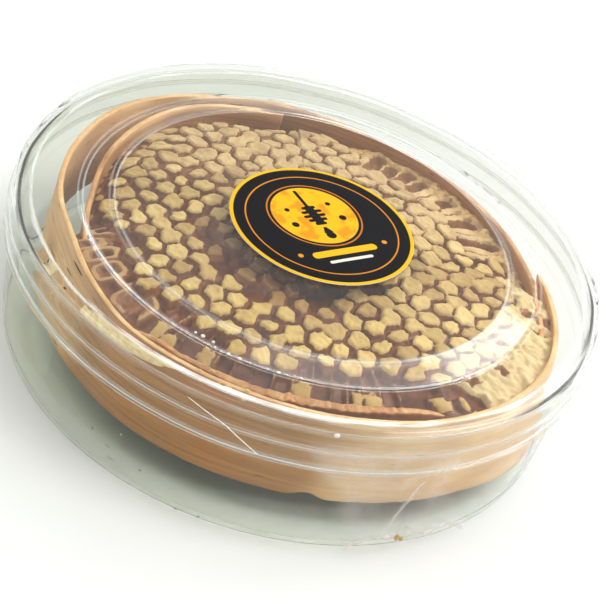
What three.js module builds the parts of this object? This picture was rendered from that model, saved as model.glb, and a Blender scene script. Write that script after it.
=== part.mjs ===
// A round honeycomb in a clear tub. The bees built the comb inside a hoop of
// wound wood veneer; the hoop stands in a thin clear tub under a press-on lid,
// with a round label on the lid and a strip of clear tape down the near side.
//
// Millimetres, +Z up. The origin is on the surface that the tub stands on,
// under the middle of the tub, and +X points to the viewer's right.
import * as THREE from "three";

// ---- driving dimensions ----
const LID_RADIUS = 62; // top edge of the lid's rim
const PACK_HEIGHT = 33.4; // top edge of the lid's rim
const PLASTIC = 0.6; // wall of the tub and of the lid
const FACETS = 72; // sides of the tub and of the lid
const TOUCH_GAP = 0.3; // room between pieces that touch

const SKIRT_RADIUS = 63.6; // lid skirt at its bottom edge
const SKIRT_BOTTOM = 23; // height of that edge
const PANEL_RADIUS = 42.8; // raised round panel in the lid
const PANEL_HEIGHT = 33.7;
const GROOVE_RADIUS = 48.8; // foot of the panel's slanting edge
const GROOVE_HEIGHT = 32.5;

const TUB_RIM = 31.4; // top of the tub's wall, under the lid
const TUB_TOP_RADIUS = 61.9; // outside of the wall at the rim
const TUB_BASE_RADIUS = 60.4; // outside of the wall just above the base
const FLOOR = 0.8; // thickness of the tub's floor

const LABEL_RADIUS = 20;
const LABEL_THICKNESS = 0.2;
const LABEL_CENTRE = [1.3, 1.1];

const VENEER = 1.2; // thickness of the wood strip
const HOOP_TOP = 28.1; // upper edge of the strip
const HOOP_BOTTOM = 6.7; // lower edge of the strip
const HOOP_TIP = 19; // direction of the strip's outer end, degrees from +X
const HOOP_WOUND = 632; // degrees wound from the outer end to the inner end
const HOOP_STEP = 5.6; // degrees between cross-sections of the strip

const CELL_PITCH = 5.2; // distance between neighbouring cells
const COMB_TOP = 30.3; // crown of the comb's upper face
const COMB_BOTTOM = 1.1; // lowest point of its lower face
const COMB_EDGE_DROP = 6.5; // from the crown down to the edge at the wood
const COMB_EDGE_RISE = 5.8; // from the lowest point up to the edge below

const TAPE_THICKNESS = 0.25;
const TAPE_STAND_OFF = 0.35; // clear of the skirt and the wall

// The wound strip, seen from above and followed clockwise from its outer end.
// Each row: degrees wound, radius of its outer face at the upper edge, and the
// same at the lower edge, both as parts of LID_RADIUS.
const HOOP_COURSE = [
  [0, 0.848, 0.858],
  [18, 0.892, 0.93],
  [39, 0.92, 0.952],
  [62, 0.908, 0.908],
  [88, 0.868, 0.868],
  [112, 0.852, 0.85],
  [140, 0.857, 0.857],
  [160, 0.836, 0.852],
  [176, 0.832, 0.862],
  [197, 0.88, 0.9],
  [222, 0.932, 0.932],
  [240, 0.944, 0.944],
  [262, 0.9, 0.9],
  [290, 0.852, 0.852],
  [320, 0.83, 0.83],
  [352, 0.815, 0.815],
  [370, 0.83, 0.83],
  [394, 0.874, 0.874],
  [412, 0.862, 0.862],
  [438, 0.806, 0.806],
  [455, 0.788, 0.788],
  [472, 0.8, 0.8],
  [500, 0.815, 0.815],
  [530, 0.784, 0.784],
  [557, 0.765, 0.765],
  [580, 0.812, 0.812],
  [605, 0.868, 0.868],
  [632, 0.84, 0.84],
];

// ---- materials ----
function material(name, color, roughness, more = {}) {
  return new THREE.MeshStandardMaterial({ name, color, roughness, metalness: 0, ...more });
}
const seeThrough = { transparent: true, opacity: 0.35 };
const clearPlastic = material("clear_plastic", 0xdfe8e0, 0.08, seeThrough);
const clearTape = material("clear_tape", 0xe9e6e2, 0.12, seeThrough);
const veneerWood = material("veneer", 0xc99a66, 0.6);
const combWax = material("comb", 0xc9b27a, 0.4);
const labelPaper = material("label", 0x1b1a1c, 0.4);

// ---- helpers ----
const radians = THREE.MathUtils.degToRad;

function addPiece(group, name, geometry, material) {
  const mesh = new THREE.Mesh(geometry, material);
  mesh.name = name;
  group.add(mesh);
  return mesh;
}

// A turned piece: [radius, height] points, run up the outside.
function turned(profile, sides) {
  const points = profile.map(([radius, height]) => new THREE.Vector2(radius, height));
  return new THREE.LatheGeometry(points, sides).rotateX(Math.PI / 2);
}

function meshFrom(vertices, triangles) {
  const geometry = new THREE.BufferGeometry();
  geometry.setAttribute("position", new THREE.Float32BufferAttribute(vertices.flat(), 3));
  geometry.setIndex(triangles.flat());
  geometry.computeVertexNormals();
  return geometry;
}

// A closed strap along a row of sections. Each section lists the points of one
// face in order and then those of the other face back again, clockwise as seen
// from the strap's far end.
function strap(sections) {
  const corners = sections[0].length;
  const triangles = [];
  for (let i = 0; i + 1 < sections.length; i++) {
    for (let k = 0; k < corners; k++) {
      const a = i * corners + k;
      const b = i * corners + ((k + 1) % corners);
      triangles.push([a, a + corners, b + corners], [a, b + corners, b]);
    }
  }
  const last = (sections.length - 1) * corners;
  for (let k = 0; k + 1 < corners / 2; k++) {
    const back = corners - 1 - k;
    triangles.push([k, k + 1, back - 1], [k, back - 1, back]);
    triangles.push([last + k, last + back - 1, last + k + 1], [last + k, last + back, last + back - 1]);
  }
  return meshFrom(sections.flat(), triangles);
}

// Smooth value of one column of a table whose first column rises.
function alongTable(table, x, column) {
  let i = 0;
  while (i < table.length - 2 && x > table[i + 1][0]) i++;
  const at = (k) => table[THREE.MathUtils.clamp(k, 0, table.length - 1)];
  const slope = (k) => {
    const [before, after] = [at(k - 1), at(k + 1)];
    return (after[column] - before[column]) / (after[0] - before[0]);
  };
  const [left, right] = [at(i), at(i + 1)];
  const span = right[0] - left[0];
  const t = THREE.MathUtils.clamp((x - left[0]) / span, 0, 1);
  const rise = right[column] - left[column];
  const bend = (1 - t) * (slope(i) * span - rise) - t * (slope(i + 1) * span - rise);
  return left[column] + t * rise + t * (1 - t) * bend;
}

// Repeatable random numbers between 0 and 1.
function randomSource(seed) {
  let state = seed;
  return () => {
    state = (state + 0x6d2b79f5) | 0;
    let t = Math.imul(state ^ (state >>> 15), 1 | state);
    t = (t + Math.imul(t ^ (t >>> 7), 61 | t)) ^ t;
    return ((t ^ (t >>> 14)) >>> 0) / 4294967296;
  };
}

// ---- the tub: a thin cup with a flat base and a slightly flaring wall ----
function tub() {
  const wallTop = TUB_TOP_RADIUS - PLASTIC;
  const wallBase = TUB_BASE_RADIUS - PLASTIC;
  const outside = [
    [0, 0],
    [TUB_BASE_RADIUS - 1.6, 0],
    [TUB_BASE_RADIUS - 0.5, 0.5],
    [TUB_BASE_RADIUS, 1.6],
    [TUB_TOP_RADIUS, SKIRT_BOTTOM - 0.6],
    [TUB_TOP_RADIUS, TUB_RIM],
  ];
  const inside = [
    [wallTop, TUB_RIM],
    [wallTop, SKIRT_BOTTOM - 0.6],
    [wallBase, 2],
    [wallBase - 0.5, 1.15],
    [wallBase - 1.4, FLOOR],
    [0, FLOOR],
  ];
  return turned([...outside, ...inside], FACETS);
}

// ---- the lid: a skirt with two bulges, a rounded rim and a raised panel ----
function lid() {
  const underSkirt = TUB_TOP_RADIUS + 0.4;
  const underside = [
    [0, PANEL_HEIGHT - PLASTIC],
    [PANEL_RADIUS - 0.2, PANEL_HEIGHT - PLASTIC],
    [GROOVE_RADIUS, GROOVE_HEIGHT - PLASTIC],
    [GROOVE_RADIUS + 1.2, GROOVE_HEIGHT - PLASTIC + 0.3],
    [LID_RADIUS - 2.2, GROOVE_HEIGHT - 0.1],
    [underSkirt, TUB_RIM + 0.3],
    [underSkirt, SKIRT_BOTTOM + 7],
    [SKIRT_RADIUS - PLASTIC, SKIRT_BOTTOM + 4],
    [SKIRT_RADIUS - PLASTIC, SKIRT_BOTTOM],
  ];
  const outside = [
    [SKIRT_RADIUS - 0.1, SKIRT_BOTTOM],
    [SKIRT_RADIUS, SKIRT_BOTTOM + 0.6],
    [SKIRT_RADIUS - 0.15, SKIRT_BOTTOM + 4],
    [SKIRT_RADIUS + 0.1, SKIRT_BOTTOM + 4.6],
    [SKIRT_RADIUS - 0.4, SKIRT_BOTTOM + 8.1],
    [LID_RADIUS + 0.9, PACK_HEIGHT - 0.8],
    [LID_RADIUS + 0.2, PACK_HEIGHT - 0.1],
    [LID_RADIUS - 1, PACK_HEIGHT],
    [LID_RADIUS - 3.4, PACK_HEIGHT - 0.4],
    [GROOVE_RADIUS + 0.9, GROOVE_HEIGHT + 0.3],
    [GROOVE_RADIUS + 0.2, GROOVE_HEIGHT],
    [PANEL_RADIUS + 0.4, PANEL_HEIGHT - 0.1],
    [PANEL_RADIUS - 0.2, PANEL_HEIGHT],
    [0, PANEL_HEIGHT],
  ];
  return turned([...underside, ...outside], FACETS);
}

// ---- the label: a thin round sticker near the middle of the lid ----
function label() {
  const under = PANEL_HEIGHT + 0.02;
  const over = under + LABEL_THICKNESS;
  const disc = turned([[0, under], [LABEL_RADIUS, under], [LABEL_RADIUS, over], [0, over]], 64);
  return disc.translate(LABEL_CENTRE[0], LABEL_CENTRE[1], 0);
}

// ---- the hoop: one strip of veneer, wound nearly twice ----
// Radius of the strip's outer face at a height, in millimetres.
function stripRadius(wound, height) {
  const upper = alongTable(HOOP_COURSE, wound, 1);
  const lower = alongTable(HOOP_COURSE, wound, 2);
  const t = (height - HOOP_BOTTOM) / (HOOP_TOP - HOOP_BOTTOM);
  return LID_RADIUS * THREE.MathUtils.lerp(lower, upper, t);
}

// The upper edge is wavy and sinks a little where cells cover it on the left;
// the lower edge climbs to a point at the torn outer end.
function stripEdges(wound) {
  const sunk = THREE.MathUtils.smoothstep(wound, 505, 520) - THREE.MathUtils.smoothstep(wound, 552, 566);
  const inner = THREE.MathUtils.smoothstep(wound, 350, 400);
  const top = HOOP_TOP - 0.5 * inner - 3.4 * sunk + 0.25 * Math.sin(radians(3 * wound));
  const torn = 1 - THREE.MathUtils.clamp(wound / 16, 0, 1) ** 0.7;
  const bottom = THREE.MathUtils.lerp(HOOP_BOTTOM + 0.2 * Math.sin(radians(2 * wound)), top - 1.2, torn);
  return { top, bottom };
}

function hoop() {
  const steps = Math.round(HOOP_WOUND / HOOP_STEP);
  const sections = [];
  for (let i = 0; i <= steps; i++) {
    const wound = (HOOP_WOUND * i) / steps;
    const direction = radians(HOOP_TIP - wound);
    const { top, bottom } = stripEdges(wound);
    const thin = VENEER * THREE.MathUtils.clamp(0.45 + wound / 20, 0, 1);
    const corner = (height, inward) => {
      const radius = stripRadius(wound, height) - inward;
      return [radius * Math.cos(direction), radius * Math.sin(direction), height];
    };
    sections.push([corner(bottom, thin), corner(top, thin), corner(top, 0), corner(bottom, 0)]);
  }
  return strap(sections);
}

// ---- the comb: hexagonal cells filling the hoop, domed above and below ----
// Radius of the comb in a direction: just inside the innermost turn of wood.
// It stays inside for a few degrees past the strip's inner end.
function combRadius(degrees) {
  const pastInnerEnd = 5;
  const first = THREE.MathUtils.euclideanModulo(HOOP_TIP - degrees, 360);
  const turns = [first, first + 360].filter((wound) => wound <= HOOP_WOUND + pastInnerEnd);
  const radii = turns.map((wound) => stripRadius(wound, HOOP_TOP));
  return Math.min(...radii) - VENEER - TOUCH_GAP;
}

// How far out a point is: 0 in the middle, 1 at the comb's edge.
function outward(x, y) {
  const degrees = THREE.MathUtils.radToDeg(Math.atan2(y, x));
  return Math.hypot(x, y) / combRadius(degrees);
}

// A flat dome that turns down more steeply close to the wood.
function domeShare(out) {
  return 0.52 * out ** 2 + 0.48 * Math.max(0, (out - 0.8) / 0.2) ** 2;
}

const upperFace = (x, y) => COMB_TOP - COMB_EDGE_DROP * domeShare(Math.min(1, outward(x, y)));
const lowerFace = (x, y) => COMB_BOTTOM + COMB_EDGE_RISE * domeShare(Math.min(1, outward(x, y)));

function comb() {
  const random = randomSource(7);
  const vertices = [];
  const triangles = [];
  const corners = new Map();
  const rowStep = (CELL_PITCH * Math.sqrt(3)) / 2;
  const side = CELL_PITCH / Math.sqrt(3);
  const addVertex = (x, y, z) => vertices.push([x, y, z]) - 1;

  // Corners are shared by the three cells that meet there; they lie in the
  // furrows between the caps, a little out of true as in real comb.
  const corner = (x, y) => {
    const key = `${Math.round((2 * x) / CELL_PITCH)},${Math.round((2 * y) / side)}`;
    if (!corners.has(key)) {
      const px = x + 0.5 * (random() - 0.5);
      const py = y + 0.5 * (random() - 0.5);
      corners.set(key, addVertex(px, py, upperFace(px, py) - 0.45));
    }
    return corners.get(key);
  };

  const cellSides = [];

  const cell = (cx, cy) => {
    const rim = [];
    for (let k = 0; k < 6; k++) {
      const angle = radians(60 * k + 30);
      rim.push(corner(cx + side * Math.cos(angle), cy + side * Math.sin(angle)));
    }
    const open = random() < 0.09;
    const size = open ? 0.8 : 0.62 + 0.2 * random();
    const lift = open ? -1.6 : 0.1 + 0.35 * random();
    const middle = addVertex(cx, cy, upperFace(cx, cy) + (open ? -1.9 : lift + 0.15));
    const cap = rim.map((index) => {
      const [x, y] = vertices[index];
      const px = cx + size * (x - cx);
      const py = cy + size * (y - cy);
      return addVertex(px, py, upperFace(px, py) + lift);
    });
    for (let k = 0; k < 6; k++) {
      const next = (k + 1) % 6;
      triangles.push([rim[k], rim[next], cap[next]], [rim[k], cap[next], cap[k]]);
      triangles.push([cap[k], cap[next], middle]);
      cellSides.push([rim[k], rim[next]]);
    }
  };

  const rows = Math.ceil(LID_RADIUS / rowStep);
  for (let row = -rows; row <= rows; row++) {
    for (let column = -rows; column <= rows; column++) {
      const cx = (column + (Math.abs(row) % 2) / 2) * CELL_PITCH;
      const cy = row * rowStep;
      const degrees = THREE.MathUtils.radToDeg(Math.atan2(cy, cx));
      if (Math.hypot(cx, cy) < combRadius(degrees) - 0.62 * CELL_PITCH) cell(cx, cy);
    }
  }

  // The outline of the field of cells: the cell sides used only once.
  const known = new Set(cellSides.map(([a, b]) => `${a},${b}`));
  const nextCorner = new Map(cellSides.filter(([a, b]) => !known.has(`${b},${a}`)));
  const start = nextCorner.keys().next().value;
  const field = [start];
  for (let at = nextCorner.get(start); at !== start; at = nextCorner.get(at)) field.push(at);

  // A band of broken cells runs from that outline to the wood.
  const EDGE_STEPS = 120;
  const ring = (share, height) => {
    const indices = [];
    for (let i = 0; i < EDGE_STEPS; i++) {
      const degrees = (360 * i) / EDGE_STEPS;
      const radius = share * combRadius(degrees);
      const x = radius * Math.cos(radians(degrees));
      const y = radius * Math.sin(radians(degrees));
      indices.push(addVertex(x, y, height(x, y)));
    }
    return indices;
  };
  const upperRing = ring(1, upperFace);
  const flat = (indices) => indices.map((index) => new THREE.Vector2(vertices[index][0], vertices[index][1]));
  const around = [...upperRing, ...field];
  for (const [a, b, c] of THREE.ShapeUtils.triangulateShape(flat(upperRing), [flat(field)])) {
    const [p, q, r] = flat([around[a], around[b], around[c]]);
    const upward = (q.x - p.x) * (r.y - p.y) - (q.y - p.y) * (r.x - p.x) > 0;
    triangles.push(upward ? [around[a], around[b], around[c]] : [around[a], around[c], around[b]]);
  }

  // The side against the wood, then the lower face in rings.
  const joinRings = (upper, lower) => {
    for (let i = 0; i < EDGE_STEPS; i++) {
      const next = (i + 1) % EDGE_STEPS;
      triangles.push([upper[i], lower[i], lower[next]], [upper[i], lower[next], upper[next]]);
    }
  };
  let outer = ring(1, lowerFace);
  joinRings(upperRing, outer);
  for (const share of [0.9, 0.78, 0.5]) {
    const inner = ring(share, lowerFace);
    joinRings(outer, inner);
    outer = inner;
  }
  const foot = addVertex(0, 0, COMB_BOTTOM);
  for (let i = 0; i < EDGE_STEPS; i++) triangles.push([outer[(i + 1) % EDGE_STEPS], outer[i], foot]);
  return meshFrom(vertices, triangles);
}

// ---- the tape: from the top of the skirt down the wall to the base ----
function tape() {
  // [radius, height, left edge, right edge], edges in degrees from +X.
  const course = [
    [LID_RADIUS + 1.2, SKIRT_BOTTOM + 8, -83, -53],
    [SKIRT_RADIUS + 0.1, SKIRT_BOTTOM + 4.6, -81, -52],
    [SKIRT_RADIUS, SKIRT_BOTTOM + 0.4, -79, -50],
    [TUB_TOP_RADIUS + 0.1, SKIRT_BOTTOM - 2.5, -77, -49],
    [TUB_BASE_RADIUS + 0.8, 10, -71, -45],
    [TUB_BASE_RADIUS, 1.8, -65, -41],
  ];
  const across = 7;
  const sheets = [TAPE_STAND_OFF + TAPE_THICKNESS, TAPE_STAND_OFF].map((off) =>
    course.map(([radius, height, left, right]) => {
      const row = [];
      for (let k = 0; k <= across; k++) {
        const angle = radians(THREE.MathUtils.lerp(left, right, k / across));
        row.push([(radius + off) * Math.cos(angle), (radius + off) * Math.sin(angle), height]);
      }
      return row;
    })
  );
  return strap(course.map((_, i) => [...sheets[0][i], ...sheets[1][i].reverse()]));
}

// ---- the whole pack ----
const pack = new THREE.Group();
addPiece(pack, "tub", tub(), clearPlastic);
addPiece(pack, "lid", lid(), clearPlastic);
addPiece(pack, "label", label(), labelPaper);
addPiece(pack, "hoop", hoop(), veneerWood);
addPiece(pack, "comb", comb(), combWax);
addPiece(pack, "tape", tape(), clearTape);

export default pack;
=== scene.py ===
import math

import bpy
import numpy as np
from mathutils import Matrix, Vector


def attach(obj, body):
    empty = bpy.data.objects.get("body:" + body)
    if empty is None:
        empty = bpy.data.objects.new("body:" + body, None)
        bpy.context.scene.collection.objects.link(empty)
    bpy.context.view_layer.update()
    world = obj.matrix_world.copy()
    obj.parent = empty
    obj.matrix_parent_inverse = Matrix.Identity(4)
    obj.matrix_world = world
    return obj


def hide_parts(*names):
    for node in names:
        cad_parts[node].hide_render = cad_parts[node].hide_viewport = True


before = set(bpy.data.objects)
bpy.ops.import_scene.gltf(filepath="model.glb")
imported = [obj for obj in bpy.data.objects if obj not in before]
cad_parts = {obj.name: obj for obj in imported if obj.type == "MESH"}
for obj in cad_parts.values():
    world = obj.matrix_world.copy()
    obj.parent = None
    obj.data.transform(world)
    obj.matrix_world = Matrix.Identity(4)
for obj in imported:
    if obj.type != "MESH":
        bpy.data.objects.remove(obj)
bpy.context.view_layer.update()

# ---------------------------------------------------------------------------
# The studio. The pack stands on a plain pale table under soft panels of light;
# lengths in this file are millimetres until a mesh or a lamp is made.
# ---------------------------------------------------------------------------
MM = 0.001


class Wire:
    """An output of a material's node. Sums, differences and products add Math nodes."""

    def __init__(self, finish, socket):
        self.finish = finish
        self.socket = socket

    def math(self, operation, first, second):
        """A Math node on two values."""
        return self.finish.node("Math", {"operation": operation}, {0: first, 1: second})

    def __add__(self, other):
        return self.math("ADD", self, other)

    def __sub__(self, other):
        return self.math("SUBTRACT", self, other)

    def __mul__(self, other):
        return self.math("MULTIPLY", self, other)

    def __radd__(self, other):
        return self.math("ADD", other, self)

    def __rsub__(self, other):
        return self.math("SUBTRACT", other, self)

    def __rmul__(self, other):
        return self.math("MULTIPLY", other, self)

    def __abs__(self):
        return self.math("ABSOLUTE", self, 0)

    def least(self, other):
        """The smaller of two values: where their shapes are joined."""
        return self.math("MINIMUM", self, other)

    def most(self, other):
        """The larger of two values: where their shapes overlap."""
        return self.math("MAXIMUM", self, other)

    def rise(self, low, high):
        """0 up to low, 1 from high on, and smooth between them."""
        ends = {"Value": self, "From Min": low, "From Max": high}
        return self.finish.node("MapRange", {"interpolation_type": "SMOOTHSTEP"}, ends)


class Finish:
    """A material, or the light of a lamp or a world, while its nodes are put together."""

    def __init__(self, name, light=None):
        self.holder = light or bpy.data.materials.new(name)
        self.holder.use_nodes = True
        self.tree = self.holder.node_tree
        self.tree.nodes.clear()

    def node(self, kind, settings=None, sockets=None, output=0):
        """Adds a node: its settings first, then the values or the wires of its sockets."""
        node = self.tree.nodes.new("ShaderNode" + kind)
        for name, value in (settings or {}).items():
            setattr(node, name, value)
        for key, value in (sockets or {}).items():
            if isinstance(value, Wire):
                self.tree.links.new(value.socket, node.inputs[key])
            else:
                node.inputs[key].default_value = value
        return Wire(self, node.outputs[output]) if node.outputs else None

    def place(self, stretch=(1, 1, 1)):
        """Object coordinates in millimetres, each times its stretch."""
        metres = self.node("TexCoord", output="Object")
        scale = [part / MM for part in stretch]
        return self.node("VectorMath", {"operation": "MULTIPLY"}, {0: metres, 1: scale})

    def mark(self, name):
        """A number that the mesh holds at each of its points."""
        return self.node("Attribute", {"attribute_name": name}, output="Fac")

    def noise(self, place, scale, detail, roughness=0.5):
        """Cloudy noise of 0 to 1 with scale blotches in each millimetre."""
        sockets = {"Vector": place, "Scale": scale, "Detail": detail, "Roughness": roughness}
        return self.node("TexNoise", None, sockets)

    def blend(self, share, first, second):
        """The first colour where share is 0 and the second where it is 1."""
        return self.node("Mix", {"data_type": "RGBA"}, {0: share, 6: first, 7: second}, output=2)

    def coats(self, base, *rows):
        """A colour under coats of others: rows of share and colour, each laid over those before."""
        for share, coat in rows:
            base = self.blend(share, base, coat)
        return base

    def axis(self, place, name):
        """The X, Y or Z of a place."""
        return self.node("SeparateXYZ", None, {0: place}, output=name)

    def length(self, place):
        """The distance of a place from the origin."""
        return self.node("VectorMath", {"operation": "LENGTH"}, {0: place}, output="Value")

    def bump(self, height, distance, strength):
        """The normal of relief that is distance millimetres deep where height goes from 0 to 1."""
        sockets = {"Strength": strength, "Distance": distance * MM, "Height": height}
        return self.node("Bump", None, sockets)

    def surface(self, shader, kind="OutputMaterial"):
        """Ends the nodes with their output, and returns the material, lamp or world."""
        self.node(kind, None, {"Surface": shader})
        return self.holder


def colour(red, green, blue):
    """An sRGB colour of 0 to 255 as the linear colour that shaders take."""
    share = np.array([red, green, blue]) / 255
    linear = np.where(share > 0.04045, ((share + 0.055) / 1.055) ** 2.4, share / 12.92)
    return (*linear, 1.0)


def make_piece(name, points, faces, material, marks=None):
    """A smooth mesh object from points (n, 3) in millimetres and groups of faces, each (m, corners).
    The marks are named numbers, one for each point."""
    mesh = bpy.data.meshes.new(name)
    corners = np.concatenate([group.ravel() for group in faces])
    sizes = np.concatenate([np.full(len(group), group.shape[1]) for group in faces])
    mesh.vertices.add(len(points))
    mesh.vertices.foreach_set("co", (points * MM).astype(np.float32).ravel())
    mesh.loops.add(len(corners))
    mesh.loops.foreach_set("vertex_index", corners.astype(np.int32))
    mesh.polygons.add(len(sizes))
    mesh.polygons.foreach_set("loop_start", (np.cumsum(sizes) - sizes).astype(np.int32))
    mesh.update(calc_edges=True)
    mesh.shade_smooth()
    for mark, values in (marks or {}).items():
        layer = mesh.attributes.new(mark, "FLOAT", "POINT")
        layer.data.foreach_set("value", values.astype(np.float32))
    mesh.materials.append(material)
    piece = bpy.data.objects.new(name, mesh)
    bpy.context.scene.collection.objects.link(piece)
    return piece


def polar(radius, turn, height):
    """Points at a distance from the axis, a direction in radians and a height."""
    return np.stack(np.broadcast_arrays(radius * np.cos(turn), radius * np.sin(turn), height), -1)


TABLE_REACH = 900
TABLE_DROP = 0.09  # how far the table lies under the tub
TABLE_SIDES = 96
table_rim = polar(TABLE_REACH, np.linspace(0, 2 * np.pi, TABLE_SIDES, endpoint=False), -TABLE_DROP)
table_finish = Finish("pale_table")
speckle = table_finish.noise(table_finish.place(), 0.02, 3.0)
table_shader = table_finish.node("BsdfPrincipled", None, {
    "Base Color": table_finish.blend(speckle, colour(238, 239, 237), colour(244, 245, 243)),
    "Roughness": 0.7,
})
table_face = np.arange(TABLE_SIDES)[None]
table = make_piece("table", table_rim, [table_face], table_finish.surface(table_shader))

# White walls all round, brighter than the ceiling.
WALL_GLOW = 0.95
CEILING_GLOW = 0.42
room = Finish("studio", bpy.data.worlds.new("studio"))
height = room.axis(room.node("TexCoord", output="Generated"), "Z")
glow = WALL_GLOW + (CEILING_GLOW - WALL_GLOW) * height.rise(0.0, 0.5)
room_light = room.node("Background", None, {"Color": colour(250, 252, 252), "Strength": glow})
bpy.context.scene.world = room.surface(room_light, "OutputWorld")
bpy.context.scene.view_settings.view_transform = "Standard"

PANEL_POWER = 4  # watts from each square metre of a panel whose glow is 1

# Rows: name, azimuth and elevation in degrees, distance from the pack, width and height, and glow.
LIGHT_PANELS = [
    ("window_panel", 13, 58, 1100, (400, 420), 1.1),
    ("skylight_panel", 30, 42, 1100, (520, 400), 3.8),
    ("low_panel", 1, 23, 1100, (240, 130), 6.0),
    ("front_panel", 172, 13, 1200, (1000, 260), 2.2),
    ("ceiling_panel", 180, 84, 1200, (640, 640), 1.6),
    ("key_panel", 75, 52, 1000, (700, 700), 5.0),
    ("left_panel", -85, 48, 1200, (900, 800), 1.9),
]


def light_panel(name, azimuth, elevation, distance, size, glow):
    """A soft panel that faces the pack. Its brightness is glow in the middle and falls smoothly to 0 at
    the edges. Azimuth goes from +Y towards +X."""
    lamp = bpy.data.lights.new(name, "AREA")
    lamp.shape = "RECTANGLE"
    lamp.size, lamp.size_y = size[0] * MM, size[1] * MM
    lamp.energy = PANEL_POWER * lamp.size * lamp.size_y * glow
    light = Finish(name, lamp)
    place = light.node("NewGeometry", output="Parametric")
    share = light.axis(place, "X"), light.axis(place, "Y")
    fades = [(part * (1 - part) * 4).rise(0, 0.8) for part in share]
    shader = light.node("Emission", None, {"Strength": fades[0] * fades[1]})
    light.surface(shader, "OutputLight")
    panel = bpy.data.objects.new(name, lamp)
    turn, lift = math.radians(azimuth), math.radians(elevation)
    level = math.cos(lift)
    direction = Vector((math.sin(turn) * level, math.cos(turn) * level, math.sin(lift)))
    facing = direction.to_track_quat("Z", "Y").to_matrix().to_4x4()
    panel.matrix_world = Matrix.Translation(direction * distance * MM) @ facing
    bpy.context.scene.collection.objects.link(panel)


for panel_row in LIGHT_PANELS:
    light_panel(*panel_row)

# The camera stands above the near side and is rolled, so that the pack leans.
CAMERA_REACH = 397.433  # from the middle of the lid's rim
CAMERA_LIFT = 0.589236  # radians above the rim's plane
CAMERA_ROLL = 0.311589
CAMERA_PAN = 0.004228
CAMERA_TILT = -0.038952
CAMERA_LENS = 114
CAMERA_SENSOR = 36
RIM_HEIGHT = 33.4

forward = Vector((0, math.cos(CAMERA_LIFT), -math.sin(CAMERA_LIFT)))
rightward = Vector((1, 0, 0))
upward = rightward.cross(forward)
forward = forward * math.cos(CAMERA_PAN) + rightward * math.sin(CAMERA_PAN)
rightward = forward.cross(upward)
forward, upward = (
    forward * math.cos(CAMERA_TILT) + upward * math.sin(CAMERA_TILT),
    upward * math.cos(CAMERA_TILT) - forward * math.sin(CAMERA_TILT),
)
across = rightward * math.cos(CAMERA_ROLL) + upward * math.sin(CAMERA_ROLL)
above = upward * math.cos(CAMERA_ROLL) - rightward * math.sin(CAMERA_ROLL)
camera_data = bpy.data.cameras.new("camera")
camera_data.lens = CAMERA_LENS
camera_data.sensor_width = CAMERA_SENSOR
camera_data.sensor_fit = "HORIZONTAL"
camera_data.clip_start = 0.01
camera = bpy.data.objects.new("camera", camera_data)
camera.matrix_world = Matrix((across, above, -forward)).transposed().to_4x4()
camera_height = CAMERA_REACH * math.sin(CAMERA_LIFT) + RIM_HEIGHT
camera.location = Vector((0, -CAMERA_REACH * math.cos(CAMERA_LIFT), camera_height)) * MM
bpy.context.scene.collection.objects.link(camera)
bpy.context.scene.camera = camera


# ---------------------------------------------------------------------------
# The tub: a shallow cup thermoformed from thin clear sheet, with a flat floor,
# a rounded foot and a wall that flares a little. The comb's hoop stands in it.
# ---------------------------------------------------------------------------
PLASTIC = 0.6  # the sheet's thickness
TUB_RIM = 31.4
TUB_TOP_RADIUS = 61.9
TUB_BASE_RADIUS = 60.4
TUB_FLOOR = 0.8
LID_BOTTOM = 23
TURNED_SIDES = 240
SOFT_EDGE = 0.28
LONGEST_SIDE = 5  # of a turned outline
CORNER_STEPS = 5  # points along a rounded corner
SWAY_WAVES = 9
FLAT_SHINE = 0.13  # gloss of dusty film between its bends
HIGHLIGHT_HALF = 0.14  # half width of a painted highlight line
# Pale haze of the plastic, also used for its painted highlights and painted light.
HAZE_AND_HIGHLIGHT_COLOUR = (220, 225, 224)


def grid_faces(rows, columns, ring=False):
    """The four-sided faces between neighbouring rows and columns of points numbered row by row.
    With ring, the last column joins the first."""
    row, column = np.mgrid[0:rows - 1, 0:columns - (0 if ring else 1)]
    following = (column + 1) % columns
    here, across = row * columns + column, row * columns + following
    return np.stack([here, across, across + columns, here + columns], -1).reshape(-1, 4)


def globe_faces(rings, sides):
    """The faces of a closed globe whose points are its rings, its first pole and its last pole."""
    step, last = np.arange(sides), (rings - 1) * sides
    ahead = (step + 1) % sides
    first_fan = np.stack([np.full(sides, rings * sides), ahead, step], -1)
    last_fan = np.stack([np.full(sides, rings * sides + 1), last + step, last + ahead], -1)
    return [grid_faces(rings, sides, ring=True), np.concatenate([first_fan, last_fan])]


def sway(x, y, length, seed):
    """Gentle random waviness, mostly between -1 and 1: the sum of sine waves of nearly the same length
    that run in different directions, divided by the root of their count."""
    count, random = SWAY_WAVES, np.random.default_rng(seed)
    turn = random.uniform(0, 2 * np.pi, count)
    step = 2 * np.pi / (length * random.uniform(0.75, 1.35, count))
    start = random.uniform(0, 2 * np.pi, count)
    waves = [np.sin(s * (x * np.cos(t) + y * np.sin(t)) + p) for t, s, p in zip(turn, step, start)]
    return np.sum(waves, axis=0) / math.sqrt(count)


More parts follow.
